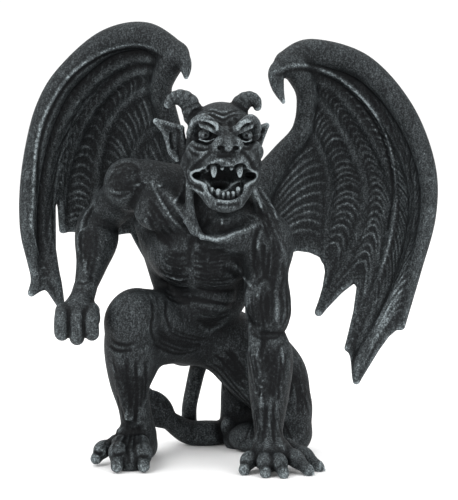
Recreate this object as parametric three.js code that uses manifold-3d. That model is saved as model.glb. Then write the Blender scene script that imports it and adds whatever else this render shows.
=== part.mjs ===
// Winged gargoyle, a free-standing figure cast in one piece: it kneels on its left knee, with the right
// knee up, the right fist hanging, the left hand on the ground, a horned head with an open mouth, two
// bat wings and a tail that lies on the ground.
//
// The figure is modelled as clay: rounded lumps, limbs and strands are blended into one field of
// distances on a grid, the skin of the field is taken off as faces, and the faces are thinned out.
// +X is the figure's left, -Y its front and +Z up. The origin is the middle of its box on the ground.

import * as THREE from 'three';
import { edgeTable, triTable } from 'three/addons/objects/MarchingCubes.js';
import Module from 'manifold-3d';

// Driving dimensions, in millimetres

const figureHeight = 256;      // from the ground to the top of the higher wing
const wingSkin = 4.2;          // thickness of the wing's skin between its fingers
const earSkin = 3.4;           // thickness of the ears
const clayStep = 1.6;          // spacing of the modelling grid
const faceLimit = 9000;        // faces left after thinning

// The pose is drawn at this height. A drawn length times unit is a real length.
const drawnHeight = 256;
const unit = figureHeight / drawnHeight;

// Box in which the figure is drawn, with room all round it
const drawnBox = { low: [-128, -56, -8], high: [128, 92, 262] };

const far = 1e3;
const deg = Math.PI / 180;

// Vectors

const add = (a, b) => [a[0] + b[0], a[1] + b[1], a[2] + b[2]];
const sub = (a, b) => [a[0] - b[0], a[1] - b[1], a[2] - b[2]];
const times = (a, s) => [a[0] * s, a[1] * s, a[2] * s];
const dot = (a, b) => a[0] * b[0] + a[1] * b[1] + a[2] * b[2];
const cross = (a, b) => [
  a[1] * b[2] - a[2] * b[1],
  a[2] * b[0] - a[0] * b[2],
  a[0] * b[1] - a[1] * b[0],
];
const mix = (a, b, t) => add(times(a, 1 - t), times(b, t));

// Lesser of two distances, with a fillet about blend wide where they meet
function smoothMin(a, b, blend) {
  const h = Math.max(blend - Math.abs(a - b), 0);
  return Math.min(a, b) - (blend > 0 ? (h * h) / (4 * blend) : 0);
}

// Smooth curve through the given points, at 0 to 1; it also carries a fourth number, such as a radius
function along(points, t) {
  const spans = points.length - 1;
  const i = Math.min(Math.floor(t * spans), spans - 1);
  const u = t * spans - i;
  const [p0, p1, p2, p3] = [
    points[Math.max(i - 1, 0)], points[i], points[i + 1], points[Math.min(i + 2, spans)],
  ];
  return p1.map((value, k) => 0.5 * (2 * value + (p2[k] - p0[k]) * u
    + (2 * p0[k] - 5 * value + 4 * p2[k] - p3[k]) * u * u
    + (3 * value - p0[k] - 3 * p2[k] + p3[k]) * u * u * u));
}

// Clay: a box of the common grid that holds, at each grid point, the distance to the modelled surface

class Clay {
  constructor(low, high) {
    this.start = low.map((v) => Math.floor(v * unit / clayStep));
    this.size = high.map((v, k) => Math.ceil(v * unit / clayStep) - this.start[k] + 1);
    this.value = new Float32Array(this.size[0] * this.size[1] * this.size[2]).fill(far);
  }

  // Blends a shape in. measure gives the real distance to it at a real place inside low and high.
  shape(low, high, blend, measure) {
    const room = blend + 2 * clayStep;
    const from = low.map((v, k) => Math.max(Math.floor((v - room) / clayStep) - this.start[k], 0));
    const to = high.map((v, k) => (
      Math.min(Math.ceil((v + room) / clayStep) - this.start[k], this.size[k] - 1)));
    const [nx, ny] = this.size;
    for (let k = from[2]; k <= to[2]; k++) {
      for (let j = from[1]; j <= to[1]; j++) {
        for (let i = from[0]; i <= to[0]; i++) {
          const cell = i + nx * (j + ny * k);
          const place = [i, j, k].map((n, axis) => (n + this.start[axis]) * clayStep);
          this.value[cell] = smoothMin(this.value[cell], measure(...place), blend);
        }
      }
    }
  }

  // An ellipsoid with the given half sizes, turned about X, then Y, then Z, in degrees
  ball(centre, half, blend = 4, turn = [0, 0, 0]) {
    const c = times(centre, unit);
    const r = times(half.length ? half : [half, half, half], unit);
    const euler = new THREE.Euler(turn[0] * deg, turn[1] * deg, turn[2] * deg, 'ZYX');
    const m = new THREE.Matrix4().makeRotationFromEuler(euler).elements;
    const reach = [0, 1, 2].map((k) => Math.hypot(m[k] * r[0], m[k + 4] * r[1], m[k + 8] * r[2]));
    this.shape(sub(c, reach), add(c, reach), blend * unit, (x, y, z) => {
      const [px, py, pz] = [x - c[0], y - c[1], z - c[2]];
      const a = (m[0] * px + m[1] * py + m[2] * pz) / r[0];
      const b = (m[4] * px + m[5] * py + m[6] * pz) / r[1];
      const d = (m[8] * px + m[9] * py + m[10] * pz) / r[2];
      const inner = Math.hypot(a, b, d);
      const slope = Math.hypot(a / r[0], b / r[1], d / r[2]);
      return slope > 0 ? inner * (inner - 1) / slope : -Math.min(...r);
    });
  }

  // A rounded limb from a to b, with its own radius at each end and a belly half way
  limb(a, b, ra, rb, blend = 4, belly = 0) {
    const [p, q] = [times(a, unit), times(b, unit)];
    const line = sub(q, p);
    const length2 = dot(line, line);
    const [r0, r1, swell] = [ra * unit, rb * unit, belly * unit];
    const reach = Math.max(r0, r1) + swell;
    const low = p.map((v, k) => Math.min(v, q[k]) - reach);
    const high = p.map((v, k) => Math.max(v, q[k]) + reach);
    this.shape(low, high, blend * unit, (x, y, z) => {
      const [dx, dy, dz] = [x - p[0], y - p[1], z - p[2]];
      const t = Math.min(Math.max((dx * line[0] + dy * line[1] + dz * line[2]) / length2, 0), 1);
      return Math.hypot(dx - line[0] * t, dy - line[1] * t, dz - line[2] * t)
        - (r0 + (r1 - r0) * t + swell * 4 * t * (1 - t));
    });
  }

  // A strand along a smooth curve; each point is x, y, z and the strand's radius there
  strand(points, blend = 3, steps = 6) {
    const room = blend + 2 * clayStep;
    const low = [0, 1, 2].map((k) => Math.min(...points.map((p) => p[k] - p[3])) - room);
    const high = [0, 1, 2].map((k) => Math.max(...points.map((p) => p[k] + p[3])) + room);
    const whole = new Clay(low, high);
    const count = steps * (points.length - 1);
    for (let i = 0; i < count; i++) {
      const [a, b] = [along(points, i / count), along(points, (i + 1) / count)];
      whole.limb(a, b, a[3], b[3], 0);
    }
    this.join(whole, blend);
  }

  // A triangle of skin with the given real thickness
  triangle(a, b, c, thickness) {
    const [p, q, r] = [times(a, unit), times(b, unit), times(c, unit)];
    const flat = new THREE.Triangle(...[p, q, r].map((corner) => new THREE.Vector3(...corner)));
    const [place, nearest] = [new THREE.Vector3(), new THREE.Vector3()];
    const low = [0, 1, 2].map((k) => Math.min(p[k], q[k], r[k]) - thickness / 2);
    const high = [0, 1, 2].map((k) => Math.max(p[k], q[k], r[k]) + thickness / 2);
    this.shape(low, high, 0, (x, y, z) => {
      place.set(x, y, z);
      return flat.closestPointToPoint(place, nearest).distanceTo(place) - thickness / 2;
    });
  }

  // Visits the cells that this clay and another one share
  shared(other, blend, combine) {
    const [nx, ny] = this.size;
    const [mx, my] = other.size;
    const shift = other.start.map((v, k) => v - this.start[k]);
    for (let k = Math.max(0, -shift[2]); k < other.size[2] && k + shift[2] < this.size[2]; k++) {
      for (let j = Math.max(0, -shift[1]); j < other.size[1] && j + shift[1] < this.size[1]; j++) {
        for (let i = Math.max(0, -shift[0]); i < other.size[0] && i + shift[0] < this.size[0]; i++) {
          const cell = i + shift[0] + nx * (j + shift[1] + ny * (k + shift[2]));
          const given = other.value[i + mx * (j + my * k)];
          this.value[cell] = combine(this.value[cell], given, blend * unit);
        }
      }
    }
  }

  join(other, blend) {
    this.shared(other, blend, smoothMin);
  }

  carve(other, blend) {
    this.shared(other, blend, (own, cut, width) => -smoothMin(-own, cut, width));
  }
}

// Clay that is to be carved out of another, at the place of that one
function hollow(centre, half, turn = [0, 0, 0]) {
  const r = Math.max(...half) + 4;
  const tool = new Clay(sub(centre, [r, r, r]), add(centre, [r, r, r]));
  tool.ball(centre, half, 0, turn);
  return tool;
}

const body = new Clay(drawnBox.low, drawnBox.high);

// Trunk: pelvis, waist and rib cage lean forward over the raised knee

function trunk() {
  const lean = [-24, 0, 0];
  body.ball([-11, 42, 70], [28, 20, 18], 6);
  body.ball([-15, 28, 96], [26, 17, 20], 8, lean);
  body.ball([-15.5, 14, 127], [33, 23, 28], 8, lean);
  body.ball([-14, 20, 146], [34, 18, 17], 8);
  body.ball([-13, 20, 157], [21, 14, 12], 8);
  body.ball([-15, 14, 100], [18, 9, 16], 6, lean);
  for (const [x, z] of [[-27, 66], [5, 64]]) body.ball([x, 54, z], [16, 16, 17], 5);
  for (const [x, y, z] of [[-36, -1, 147], [4, -7, 136]]) body.ball([x, y, z], [18, 10, 12], 5, lean);
  body.limb([-45.6, 17, 139], [-38.4, 24, 106], 9.4, 7.4, 5);
  body.limb([13, 14, 126], [6, 24, 100], 9, 7, 5);
}

// Neck, shoulder slopes and collar bones

function neck() {
  body.limb([-12, 10, 152], [-6, 0, 172], 16, 14, 6);
  body.limb([-15, 15, 160], [-46, 12, 167], 10, 9, 6);
  body.limb([-9, 12, 158], [18, 5, 144], 10, 9, 6);
  body.strand([[-44, -2, 165, 3.4], [-33, -10, 154, 3.4], [-20, -17, 138, 2.6]], 3);
  body.strand([[-15, -18.5, 134, 2.6], [-2, -20, 133.5, 3], [16, -12, 141, 3.2]], 3);
  body.strand([[-22, -8, 168, 3], [-22, -15, 152, 3], [-19, -17, 138, 2.4]], 3);
  body.strand([[12, -6, 164, 3], [17, -8, 152, 3], [22, -6, 144, 2.6]], 3);
}

// Right arm: it swings back to the elbow and forward to a hanging fist

function rightArm() {
  body.limb([-30, 10, 156], [-55, 8, 161], 13, 12, 6);
  body.ball([-58, 9, 163], [13.6, 13.5, 14], 5);
  body.limb([-57, 12, 160], [-68, 22, 149], 12.5, 10, 5);
  body.limb([-66, 20, 150], [-78, 34, 137], 10.5, 9, 5, 1);
  body.strand([[-79, 34, 137, 10], [-77.2, 24, 130, 12.8], [-78.8, 8, 117, 9.2], [-82, -10, 103, 6]], 4);
  rightFist();
}

function rightFist() {
  body.limb([-82, -10, 103], [-84.5, -17, 94], 6, 8.4, 3);
  body.ball([-85.5, -19, 90], [10.4, 9, 9], 3);
  const fingers = { first: -93.6, apart: 8.4, radius: 4.2, lows: [81, 78.6, 81] };
  fingers.lows.forEach((low, i) => {
    const x = fingers.first + fingers.apart * i;
    const r = fingers.radius;
    body.strand([[x, -21, 93, r], [x, -29, 88, r], [x, -27, low, r], [x, -18, low, r - 0.8]], 1.5);
  });
  body.strand([[-77.5, -14, 93, 3.8], [-76, -20, 88, 3.6], [-77.5, -28, 84.5, 3.4]], 1.5);
}

// Left arm: a straight prop from the shoulder to the hand on the ground

function leftArm() {
  body.limb([-4, 6, 138], [20, 0, 132], 14, 12, 6);
  body.ball([22, 0, 128], [15.2, 15, 18], 5);
  body.strand([
    [21.4, 0, 124, 13], [21.3, 0, 107, 12.8], [22.8, 2, 90, 13.4], [22.2, 3, 78, 10],
    [23.8, 0, 63, 13], [23.2, -5, 45, 11.6], [22.6, -11, 23, 8.2], [23.5, -14, 14, 9],
  ], 4);
  body.strand([[17, -10, 114, 3], [14, -11, 98, 5], [18, -7, 84, 2.6]], 4);
  body.strand([[14, -5, 80, 3], [16, -12, 64, 4.4], [20, -16, 40, 2.4]], 4);
  leftHand();
}

// A finger or toe on the ground: base, raised knuckle, pad and claw
function digit(base, knuckle, tip, radius) {
  const out = sub(tip, knuckle);
  const claw = add(tip, [out[0] * 0.3, out[1] * 0.3, -1.2]);
  body.strand([[...base, radius], [...knuckle, radius], [...tip, radius * 0.8]], 2);
  body.limb(tip, claw, radius * 0.7, 1.1, 1);
}

function leftHand() {
  body.ball([24, -16, 9], [12, 11, 9], 4);
  digit([17, -15, 10], [11.4, -21, 7.4], [8.6, -26, 2.8], 4.9);
  digit([20, -18, 11], [20.6, -27, 7.6], [20.4, -33, 2.6], 4.9);
  digit([24, -18, 11], [28, -28, 7.6], [30.6, -34, 2.5], 4.9);
  digit([30, -14, 13], [37.6, -21, 8.2], [45, -27.6, 2.6], 4.9);
  digit([33, -8, 13], [43, -11.6, 8.4], [51.4, -17, 2.5], 4.6);
}

// Right leg: knee raised, foot flat with three clawed toes

function rightLeg() {
  body.limb([-22, 38, 73], [-52.4, -3, 88.5], 19, 15, 7, 1);
  body.limb([-18, 42, 69], [-45, 10, 69], 14, 13, 5);
  body.ball([-55.6, -8, 86.5], [13.6, 14, 15.2], 4);
  body.ball([-57, -16, 89], [9, 6, 10], 4);
  body.strand([
    [-56.4, -6, 82, 14.4], [-56.6, -2, 67, 15], [-57.8, 3, 50, 11.4], [-55, 8, 33, 9.4],
    [-52.8, 12, 18, 9.8],
  ], 5);
  body.ball([-53, 9, 60], [12, 11, 17], 5);
  body.strand([[-61, -14, 72, 2.6], [-62, -8, 50, 2.6], [-58, -1, 28, 2]], 3);
  rightFoot();
}

function rightFoot() {
  body.limb([-52, 15, 12], [-57, -2, 7.5], 9.6, 9.5, 4);
  body.ball([-50, 22, 7], [8, 10, 9], 4);
  body.ball([-57, -9, 5.5], [10.5, 11, 8], 4);
  body.ball([-62, 6, 17.5], [3.6, 4, 4], 3);
  digit([-65, 6, 12], [-73, 1.5, 8.8], [-76.6, -2.5, 4.2], 5);
  digit([-62.6, -3, 13], [-63.4, -14, 10.5], [-63.6, -22, 4], 5.3);
  digit([-51, -2, 13], [-49, -13, 9.6], [-48.4, -21, 3.8], 5.2);
}

// Left leg: thigh down to the knee on the ground, shin folded back, foot tucked under the seat

function leftLeg() {
  body.limb([2, 40, 62], [34.5, 38, 27], 18.6, 13.6, 7, 2);
  body.strand([[22, 38, 62, 13], [32.4, 37, 48, 13.6], [36.6, 37, 30, 12], [37, 38, 11, 12.4]], 5);
  body.strand([[8, 50, 46, 12], [6.4, 56, 31, 11.4], [5.4, 60, 17, 10.5]], 5);
  body.limb([36, 44, 11], [10, 64, 18], 12.4, 11, 5, 1);
  body.strand([[8, 64, 22, 10], [5, 58, 12, 9], [4, 50, 5, 7.5]], 4);
  body.ball([14, 40, 8], [14, 12, 9], 5);
  body.ball([-1, 49, 13], [4, 4, 5], 3);
}

// Tail: down from the rump, round on the ground, and forward to a flat barb behind the right heel

function tail() {
  body.strand([
    [-14, 55, 60, 8], [-18.2, 61, 49, 5.4], [-21.4, 63, 36, 4.8], [-24.4, 66, 19, 4.6], [-22, 72, 5, 5],
    [-9, 73, 4.6, 6], [-4, 65, 6, 7], [-12, 57, 7.2, 7.8], [-24, 56, 8, 7.4], [-33, 53, 13.6, 6.2],
    [-41, 49, 21, 4.5],
  ], 3);
  const barb = { middle: [-44.5, 47, 24.5], half: [15, 4.4, 9.5], turn: [0, 48, 12] };
  body.ball(barb.middle, barb.half, 3, barb.turn);
}

// Wings: an arm rises from the back to a clawed wrist, the fingers fan out from there, and a skin
// hangs between them. Each finger is a list of x, y, z and radius. The skin between two fingers ends
// short of their tips by its scallop.

const leftWing = {
  arm: [[6, 30, 144, 11], [20, 43, 161, 9], [32, 50, 177, 6.6], [42.5, 50, 190, 5.6],
    [45.4, 49, 203, 5.6], [45, 45, 216, 6.4], [38, 39, 229, 7.6]],
  thumb: [[35, 38, 230, 7], [28, 32, 225.6, 5.2], [28.4, 29, 217, 3.6], [31.6, 28, 208.6, 1.2]],
  fingers: [
    [[34, 38, 231, 7.6], [49, 46, 237, 8.2], [78.5, 48, 229, 7.4], [102.4, 44, 203.4, 6.6],
      [115.6, 36, 171.4, 5.6], [116.6, 30, 142.5, 4.8], [109, 24, 110.7, 3.6], [100.4, 20, 78.4, 2.2]],
    [[43, 42, 227, 4], [66.4, 52, 223.3, 3.8], [94.7, 54, 194.2, 3.6], [108.6, 46, 161.9, 3.4],
      [108.5, 38, 132.9, 3.4], [97, 28, 96, 3.2], [77, 15.5, 59.6, 3.9], [74.2, 14, 46.8, 1.2]],
    [[45, 44, 222.2, 4], [63, 56, 214.9, 3.6], [83.4, 62, 190.9, 3.4], [97.9, 60, 162.2, 3.2],
      [98, 50, 134.7, 3], [87, 36, 98.6, 2.8], [69.8, 22, 65, 1.6]],
    [[46, 46, 214, 4], [59, 58, 201.8, 3.6], [74.1, 66, 178.7, 3.4], [82.1, 66, 154.5, 3.2],
      [75.5, 54, 125.4, 3.2], [53, 32, 84.8, 2.6]],
    [[43, 49, 195, 4], [51, 57, 184, 3.4], [59.4, 64, 163, 3.2], [58.6, 58, 138, 3],
      [56.1, 48, 117, 2]],
    [[20, 42, 162, 5], [20, 38, 138, 4], [15, 31, 113, 3]],
  ],
  scallops: [0.06, 0.03, 0.14, 0.08, 0.12],
};

const rightWing = {
  arm: [[-20, 30, 146, 11], [-26, 44, 158, 9], [-31.5, 50, 179.5, 7], [-37, 50, 202, 6.2],
    [-40, 46, 217, 6.4], [-34, 41, 232, 8]],
  thumb: [[-31.5, 39, 236, 7.4], [-27, 35, 232, 5], [-25.2, 33, 227.6, 3.2], [-25, 32, 223, 1.4]],
  fingers: [
    [[-31, 40, 236, 7.6], [-49.5, 46, 246.8, 8.2], [-72.8, 48, 242.4, 7.8], [-95.6, 46, 223, 7.2],
      [-106.8, 42, 204.4, 7], [-113.6, 37, 181.4, 6.2], [-117.2, 32, 156.8, 5.6],
      [-117.4, 27, 133.6, 4.8], [-114.4, 23, 115, 3.2], [-112.6, 20, 106, 2.6], [-115, 18, 98, 1.2]],
    [[-35, 42, 231, 4], [-57, 52, 233.5, 3.8], [-82, 54, 219, 3.6], [-101, 50, 192, 3.4],
      [-109.4, 42, 157, 3.4], [-109, 33, 128, 3.4], [-101, 21, 104, 3.8], [-97.8, 17, 90.6, 1.6]],
    [[-38, 44, 226, 4], [-58.9, 56, 224, 3.6], [-80.3, 62, 206, 3.4], [-94.5, 60, 178, 3.2],
      [-99, 54, 152.4, 3], [-98.8, 46, 132.5, 2.2]],
    [[-41, 46, 218, 4], [-56.1, 58, 211, 3.6], [-71.6, 66, 195, 3.4], [-79, 66, 171, 3.2],
      [-79.8, 58, 146.1, 3.2], [-77.5, 50, 124, 2.4]],
    [[-38.5, 49, 194, 4], [-50.2, 58, 186, 3.4], [-59.6, 64, 167.5, 3.2], [-60.6, 60, 148, 3],
      [-57.6, 50, 132, 2]],
    [[-27, 42, 154, 5], [-38, 38, 134, 4], [-42, 31, 109, 3]],
  ],
  scallops: [0.09, 0.33, 0.05, 0.04, -0.08],
};

// Patch of wing skin between two fingers, hung a little back between them
function webbing(wing, one, two, scallop) {
  const [lines, rows, sag] = [14, 5, 2.5];
  const point = (i, j) => {
    const [s, t] = [i / lines, j / rows];
    const bow = 4 * t * (1 - t);
    const p = mix(along(one, s * (1 - scallop * bow)), along(two, s * (1 - scallop * bow)), t);
    return add(p, [0, sag * bow * Math.sin(Math.PI * s), 0]);
  };
  for (let i = 0; i < lines; i++) {
    for (let j = 0; j < rows; j++) {
      const corners = [point(i, j), point(i + 1, j), point(i + 1, j + 1), point(i, j + 1)];
      wing.triangle(corners[0], corners[1], corners[2], wingSkin);
      wing.triangle(corners[0], corners[2], corners[3], wingSkin);
    }
  }
}

function makeWing({ arm, thumb, fingers, scallops }) {
  const skin = new Clay(drawnBox.low, drawnBox.high);
  scallops.forEach((scallop, i) => webbing(skin, fingers[i], fingers[i + 1], scallop));
  fingers.forEach((finger) => skin.strand(finger, 2));
  skin.strand(arm, 3);
  skin.strand(thumb, 2);
  body.join(skin, 4);
}

// Head, drawn about its own middle with the face to -Y, then turned a little to its left and set down

const headPlace = { middle: [-4, -14, 182], turn: [0, 1, 8] };
const headTurn = new THREE.Matrix4().makeRotationFromEuler(
  new THREE.Euler(...headPlace.turn.map((angle) => angle * deg), 'ZYX'));

function onHead(p) {
  const turned = new THREE.Vector3(...p).applyMatrix4(headTurn);
  return [...add(turned.toArray(), headPlace.middle), ...p.slice(3)];
}

function headBall(centre, half, blend) {
  body.ball(onHead(centre), half, blend, headPlace.turn);
}

function headHollow(centre, half, blend) {
  body.carve(hollow(onHead(centre), half, headPlace.turn), blend);
}

function headStrand(points, blend) {
  body.strand(points.map(onHead), blend, 4);
}

function skull() {
  headBall([0, 4, 8], [19.5, 22, 19.8], 4);
  headBall([0, 0, -4], [20, 18, 15], 6);
  headBall([0, -13, -3], [15, 12, 8], 5);
  headBall([0, -19, -27.5], [8, 6.5, 5], 4);
  for (const side of [-1, 1]) {
    headStrand([[17 * side, 2, -7, 6], [15 * side, -8, -15.5, 5.2], [8 * side, -16, -26, 4.6]], 4);
    headBall([14.6 * side, -12, 1.5], [5.6, 5.5, 4.5], 3);
  }
}

function eyesAndNose() {
  for (const side of [-1, 1]) {
    headHollow([11.4 * side, -20.5, 11], [7.2, 6.5, 5.6], 2);
    headBall([11.4 * side, -15.8, 10.4], [4.7, 4.6, 4.4], 0.5);
    headStrand([[3.6 * side, -21.5, 11.5, 2.3], [6.4 * side, -22.3, 15.2, 2.8],
      [12 * side, -20, 17.8, 3], [17 * side, -13, 13.2, 2.6]], 2);
    headStrand([[5.5 * side, -20, 6, 1.8], [11.5 * side, -19, 4.4, 1.8], [17 * side, -13, 7, 1.8]], 2);
    headStrand([[6.5 * side, -23.5, 2.6, 2], [13 * side, -18, -1.6, 2.4],
      [18 * side, -9.5, -8.6, 2.2]], 2);
    headBall([5.2 * side, -24, 3.4], [3.2, 3.6, 2.8], 1.5);
  }
  headStrand([[0, -18.6, 12.4, 3], [0, -22.6, 9.8, 3.4], [0, -26.4, 5.6, 4.2]], 2);
}

function mouth() {
  headHollow([0, -24, -15.4], [14.4, 14, 8.2], 1.5);
  headHollow([0, -24, -20], [9.6, 12, 6.4], 1.5);
  for (const side of [-1, 1]) {
    headStrand([[0, -25.2, -5.8, 2.4], [7.5 * side, -23.6, -4.8, 2.6], [13 * side, -18, -7.8, 2.4],
      [17 * side, -11.5, -13.6, 2.2]], 1.5);
    headStrand([[0, -24.8, -27, 2.2], [7.6 * side, -23, -26.2, 2.2], [12 * side, -18, -20.4, 2.1],
      [16.8 * side, -11.5, -14.6, 2.1]], 1.5);
    headStrand([[7.4 * side, -22.6, -7, 2.1], [7.4 * side, -24, -13.6, 0.9]], 0.6);
    headStrand([[7.4 * side, -21.8, -25.4, 2.1], [7.4 * side, -23, -19, 0.9]], 0.6);
    headStrand([[2.5 * side, -23.6, -26, 2], [2.5 * side, -24, -21, 1.3]], 0.6);
    headStrand([[3 * side, -24, -7, 1.9], [3 * side, -24.5, -10.2, 1.2]], 0.6);
  }
  headBall([0, -13, -22.5], [7, 9, 3.2], 2);
}

function hornsAndEars() {
  body.strand([[-20, -8, 202, 5.2], [-22.4, -8, 208.8, 4.9], [-27.4, -8, 212.2, 4.1], [-32, -8, 211, 3],
    [-34.4, -8, 208.2, 1.9]], 2);
  body.strand([[4, -8, 202, 5], [6.8, -8, 208.4, 4.7], [11.3, -8, 211.4, 3.9], [14.9, -8, 210, 3],
    [16, -8, 206.8, 2]], 2);
  const ears = [
    { tip: [-41.6, -2, 198], top: [-24.5, -4, 195], low: [-24.5, -4, 177], rim: [-34, -3, 186] },
    { tip: [21.4, 2, 196], top: [12, 1, 192.5], low: [13.4, 0, 177], rim: [17.4, 2, 187] },
  ];
  for (const { tip, top, low, rim } of ears) {
    const flap = new Clay(sub(rim, [22, 16, 22]), add(rim, [22, 16, 22]));
    flap.triangle(tip, top, rim, earSkin);
    flap.triangle(top, rim, low, earSkin);
    flap.strand([[...tip, 1.2], [...mix(tip, top, 0.5), 2], [...top, 2]], 1);
    flap.strand([[...tip, 1.2], [...rim, 2.2], [...low, 2]], 1);
    body.join(flap, 2);
  }
}

// Skin of the clay as faces: one patch for each grid cell that the surface crosses

const cornerSteps = [
  [0, 0, 0], [1, 0, 0], [1, 1, 0], [0, 1, 0], [0, 0, 1], [1, 0, 1], [1, 1, 1], [0, 1, 1],
];
const edgeCorners = [
  [0, 1], [1, 2], [2, 3], [3, 0], [4, 5], [5, 6], [6, 7], [7, 4], [0, 4], [1, 5], [2, 6], [3, 7],
];

function skinOf(clay) {
  const [nx, ny, nz] = clay.size;
  const stride = [1, nx, nx * ny];
  const cornerShift = cornerSteps.map((c) => dot(c, stride));
  const nearZero = clayStep * 1e-3;
  const level = (cell) => {
    const v = clay.value[cell];
    return Math.abs(v) < nearZero ? (v < 0 ? -nearZero : nearZero) : v;
  };
  const points = [];
  const faces = [];
  const known = new Map();
  const crossing = (i, j, k, edge) => {
    const [a, b] = edgeCorners[edge];
    const axis = cornerSteps[a].findIndex((v, n) => v !== cornerSteps[b][n]);
    const from = cornerSteps[a][axis] < cornerSteps[b][axis] ? a : b;
    const cell = i + nx * (j + ny * k) + cornerShift[from];
    const key = cell * 3 + axis;
    if (!known.has(key)) {
      const [v0, v1] = [level(cell), level(cell + stride[axis])];
      const p = add([i, j, k], cornerSteps[from]);
      p[axis] += v0 / (v0 - v1);
      points.push(times(add(p, clay.start), clayStep));
      known.set(key, points.length - 1);
    }
    return known.get(key);
  };
  for (let k = 0; k < nz - 1; k++) {
    for (let j = 0; j < ny - 1; j++) {
      for (let i = 0; i < nx - 1; i++) {
        const cell = i + nx * (j + ny * k);
        let pattern = 0;
        for (let c = 0; c < 8; c++) if (level(cell + cornerShift[c]) < 0) pattern |= 1 << c;
        if (!edgeTable[pattern]) continue;
        for (let n = pattern * 16; triTable[n] >= 0; n += 3) {
          faces.push([2, 1, 0].map((m) => crossing(i, j, k, triTable[n + m])));
        }
      }
    }
  }
  return { points, faces };
}

// Keeps the largest connected shell: crumbs finer than the grid can form at a claw's very point
function largestShell({ points, faces }) {
  const root = points.map((_, i) => i);
  const find = (i) => {
    while (root[i] !== i) {
      root[i] = root[root[i]];
      i = root[i];
    }
    return i;
  };
  for (const [a, b, c] of faces) {
    root[find(b)] = find(a);
    root[find(c)] = find(a);
  }
  const tally = new Map();
  for (const [a] of faces) tally.set(find(a), (tally.get(find(a)) ?? 0) + 1);
  const [main] = [...tally.entries()].reduce((best, entry) => (entry[1] > best[1] ? entry : best));
  return { points, faces: faces.filter(([a]) => find(a) === main) };
}

// Thins the faces: the edge whose loss moves the surface least is drawn together, again and again.
// care(point) says how much a place matters, 1 for plain surfaces and more for fine ones.

const farthestMove = 2;     // a merged point stays within this many edge lengths of the edge
const leastBend = 1e-4;     // flatter places keep to the edge's ends and middle
const mostTurn = 0.35;      // cosine of the most that a face may turn in one step
const leastArea = 1e-4;     // mm2, the smallest face left
const shortFirst = 1e-7;    // among equal edges, the shorter one goes first

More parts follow.
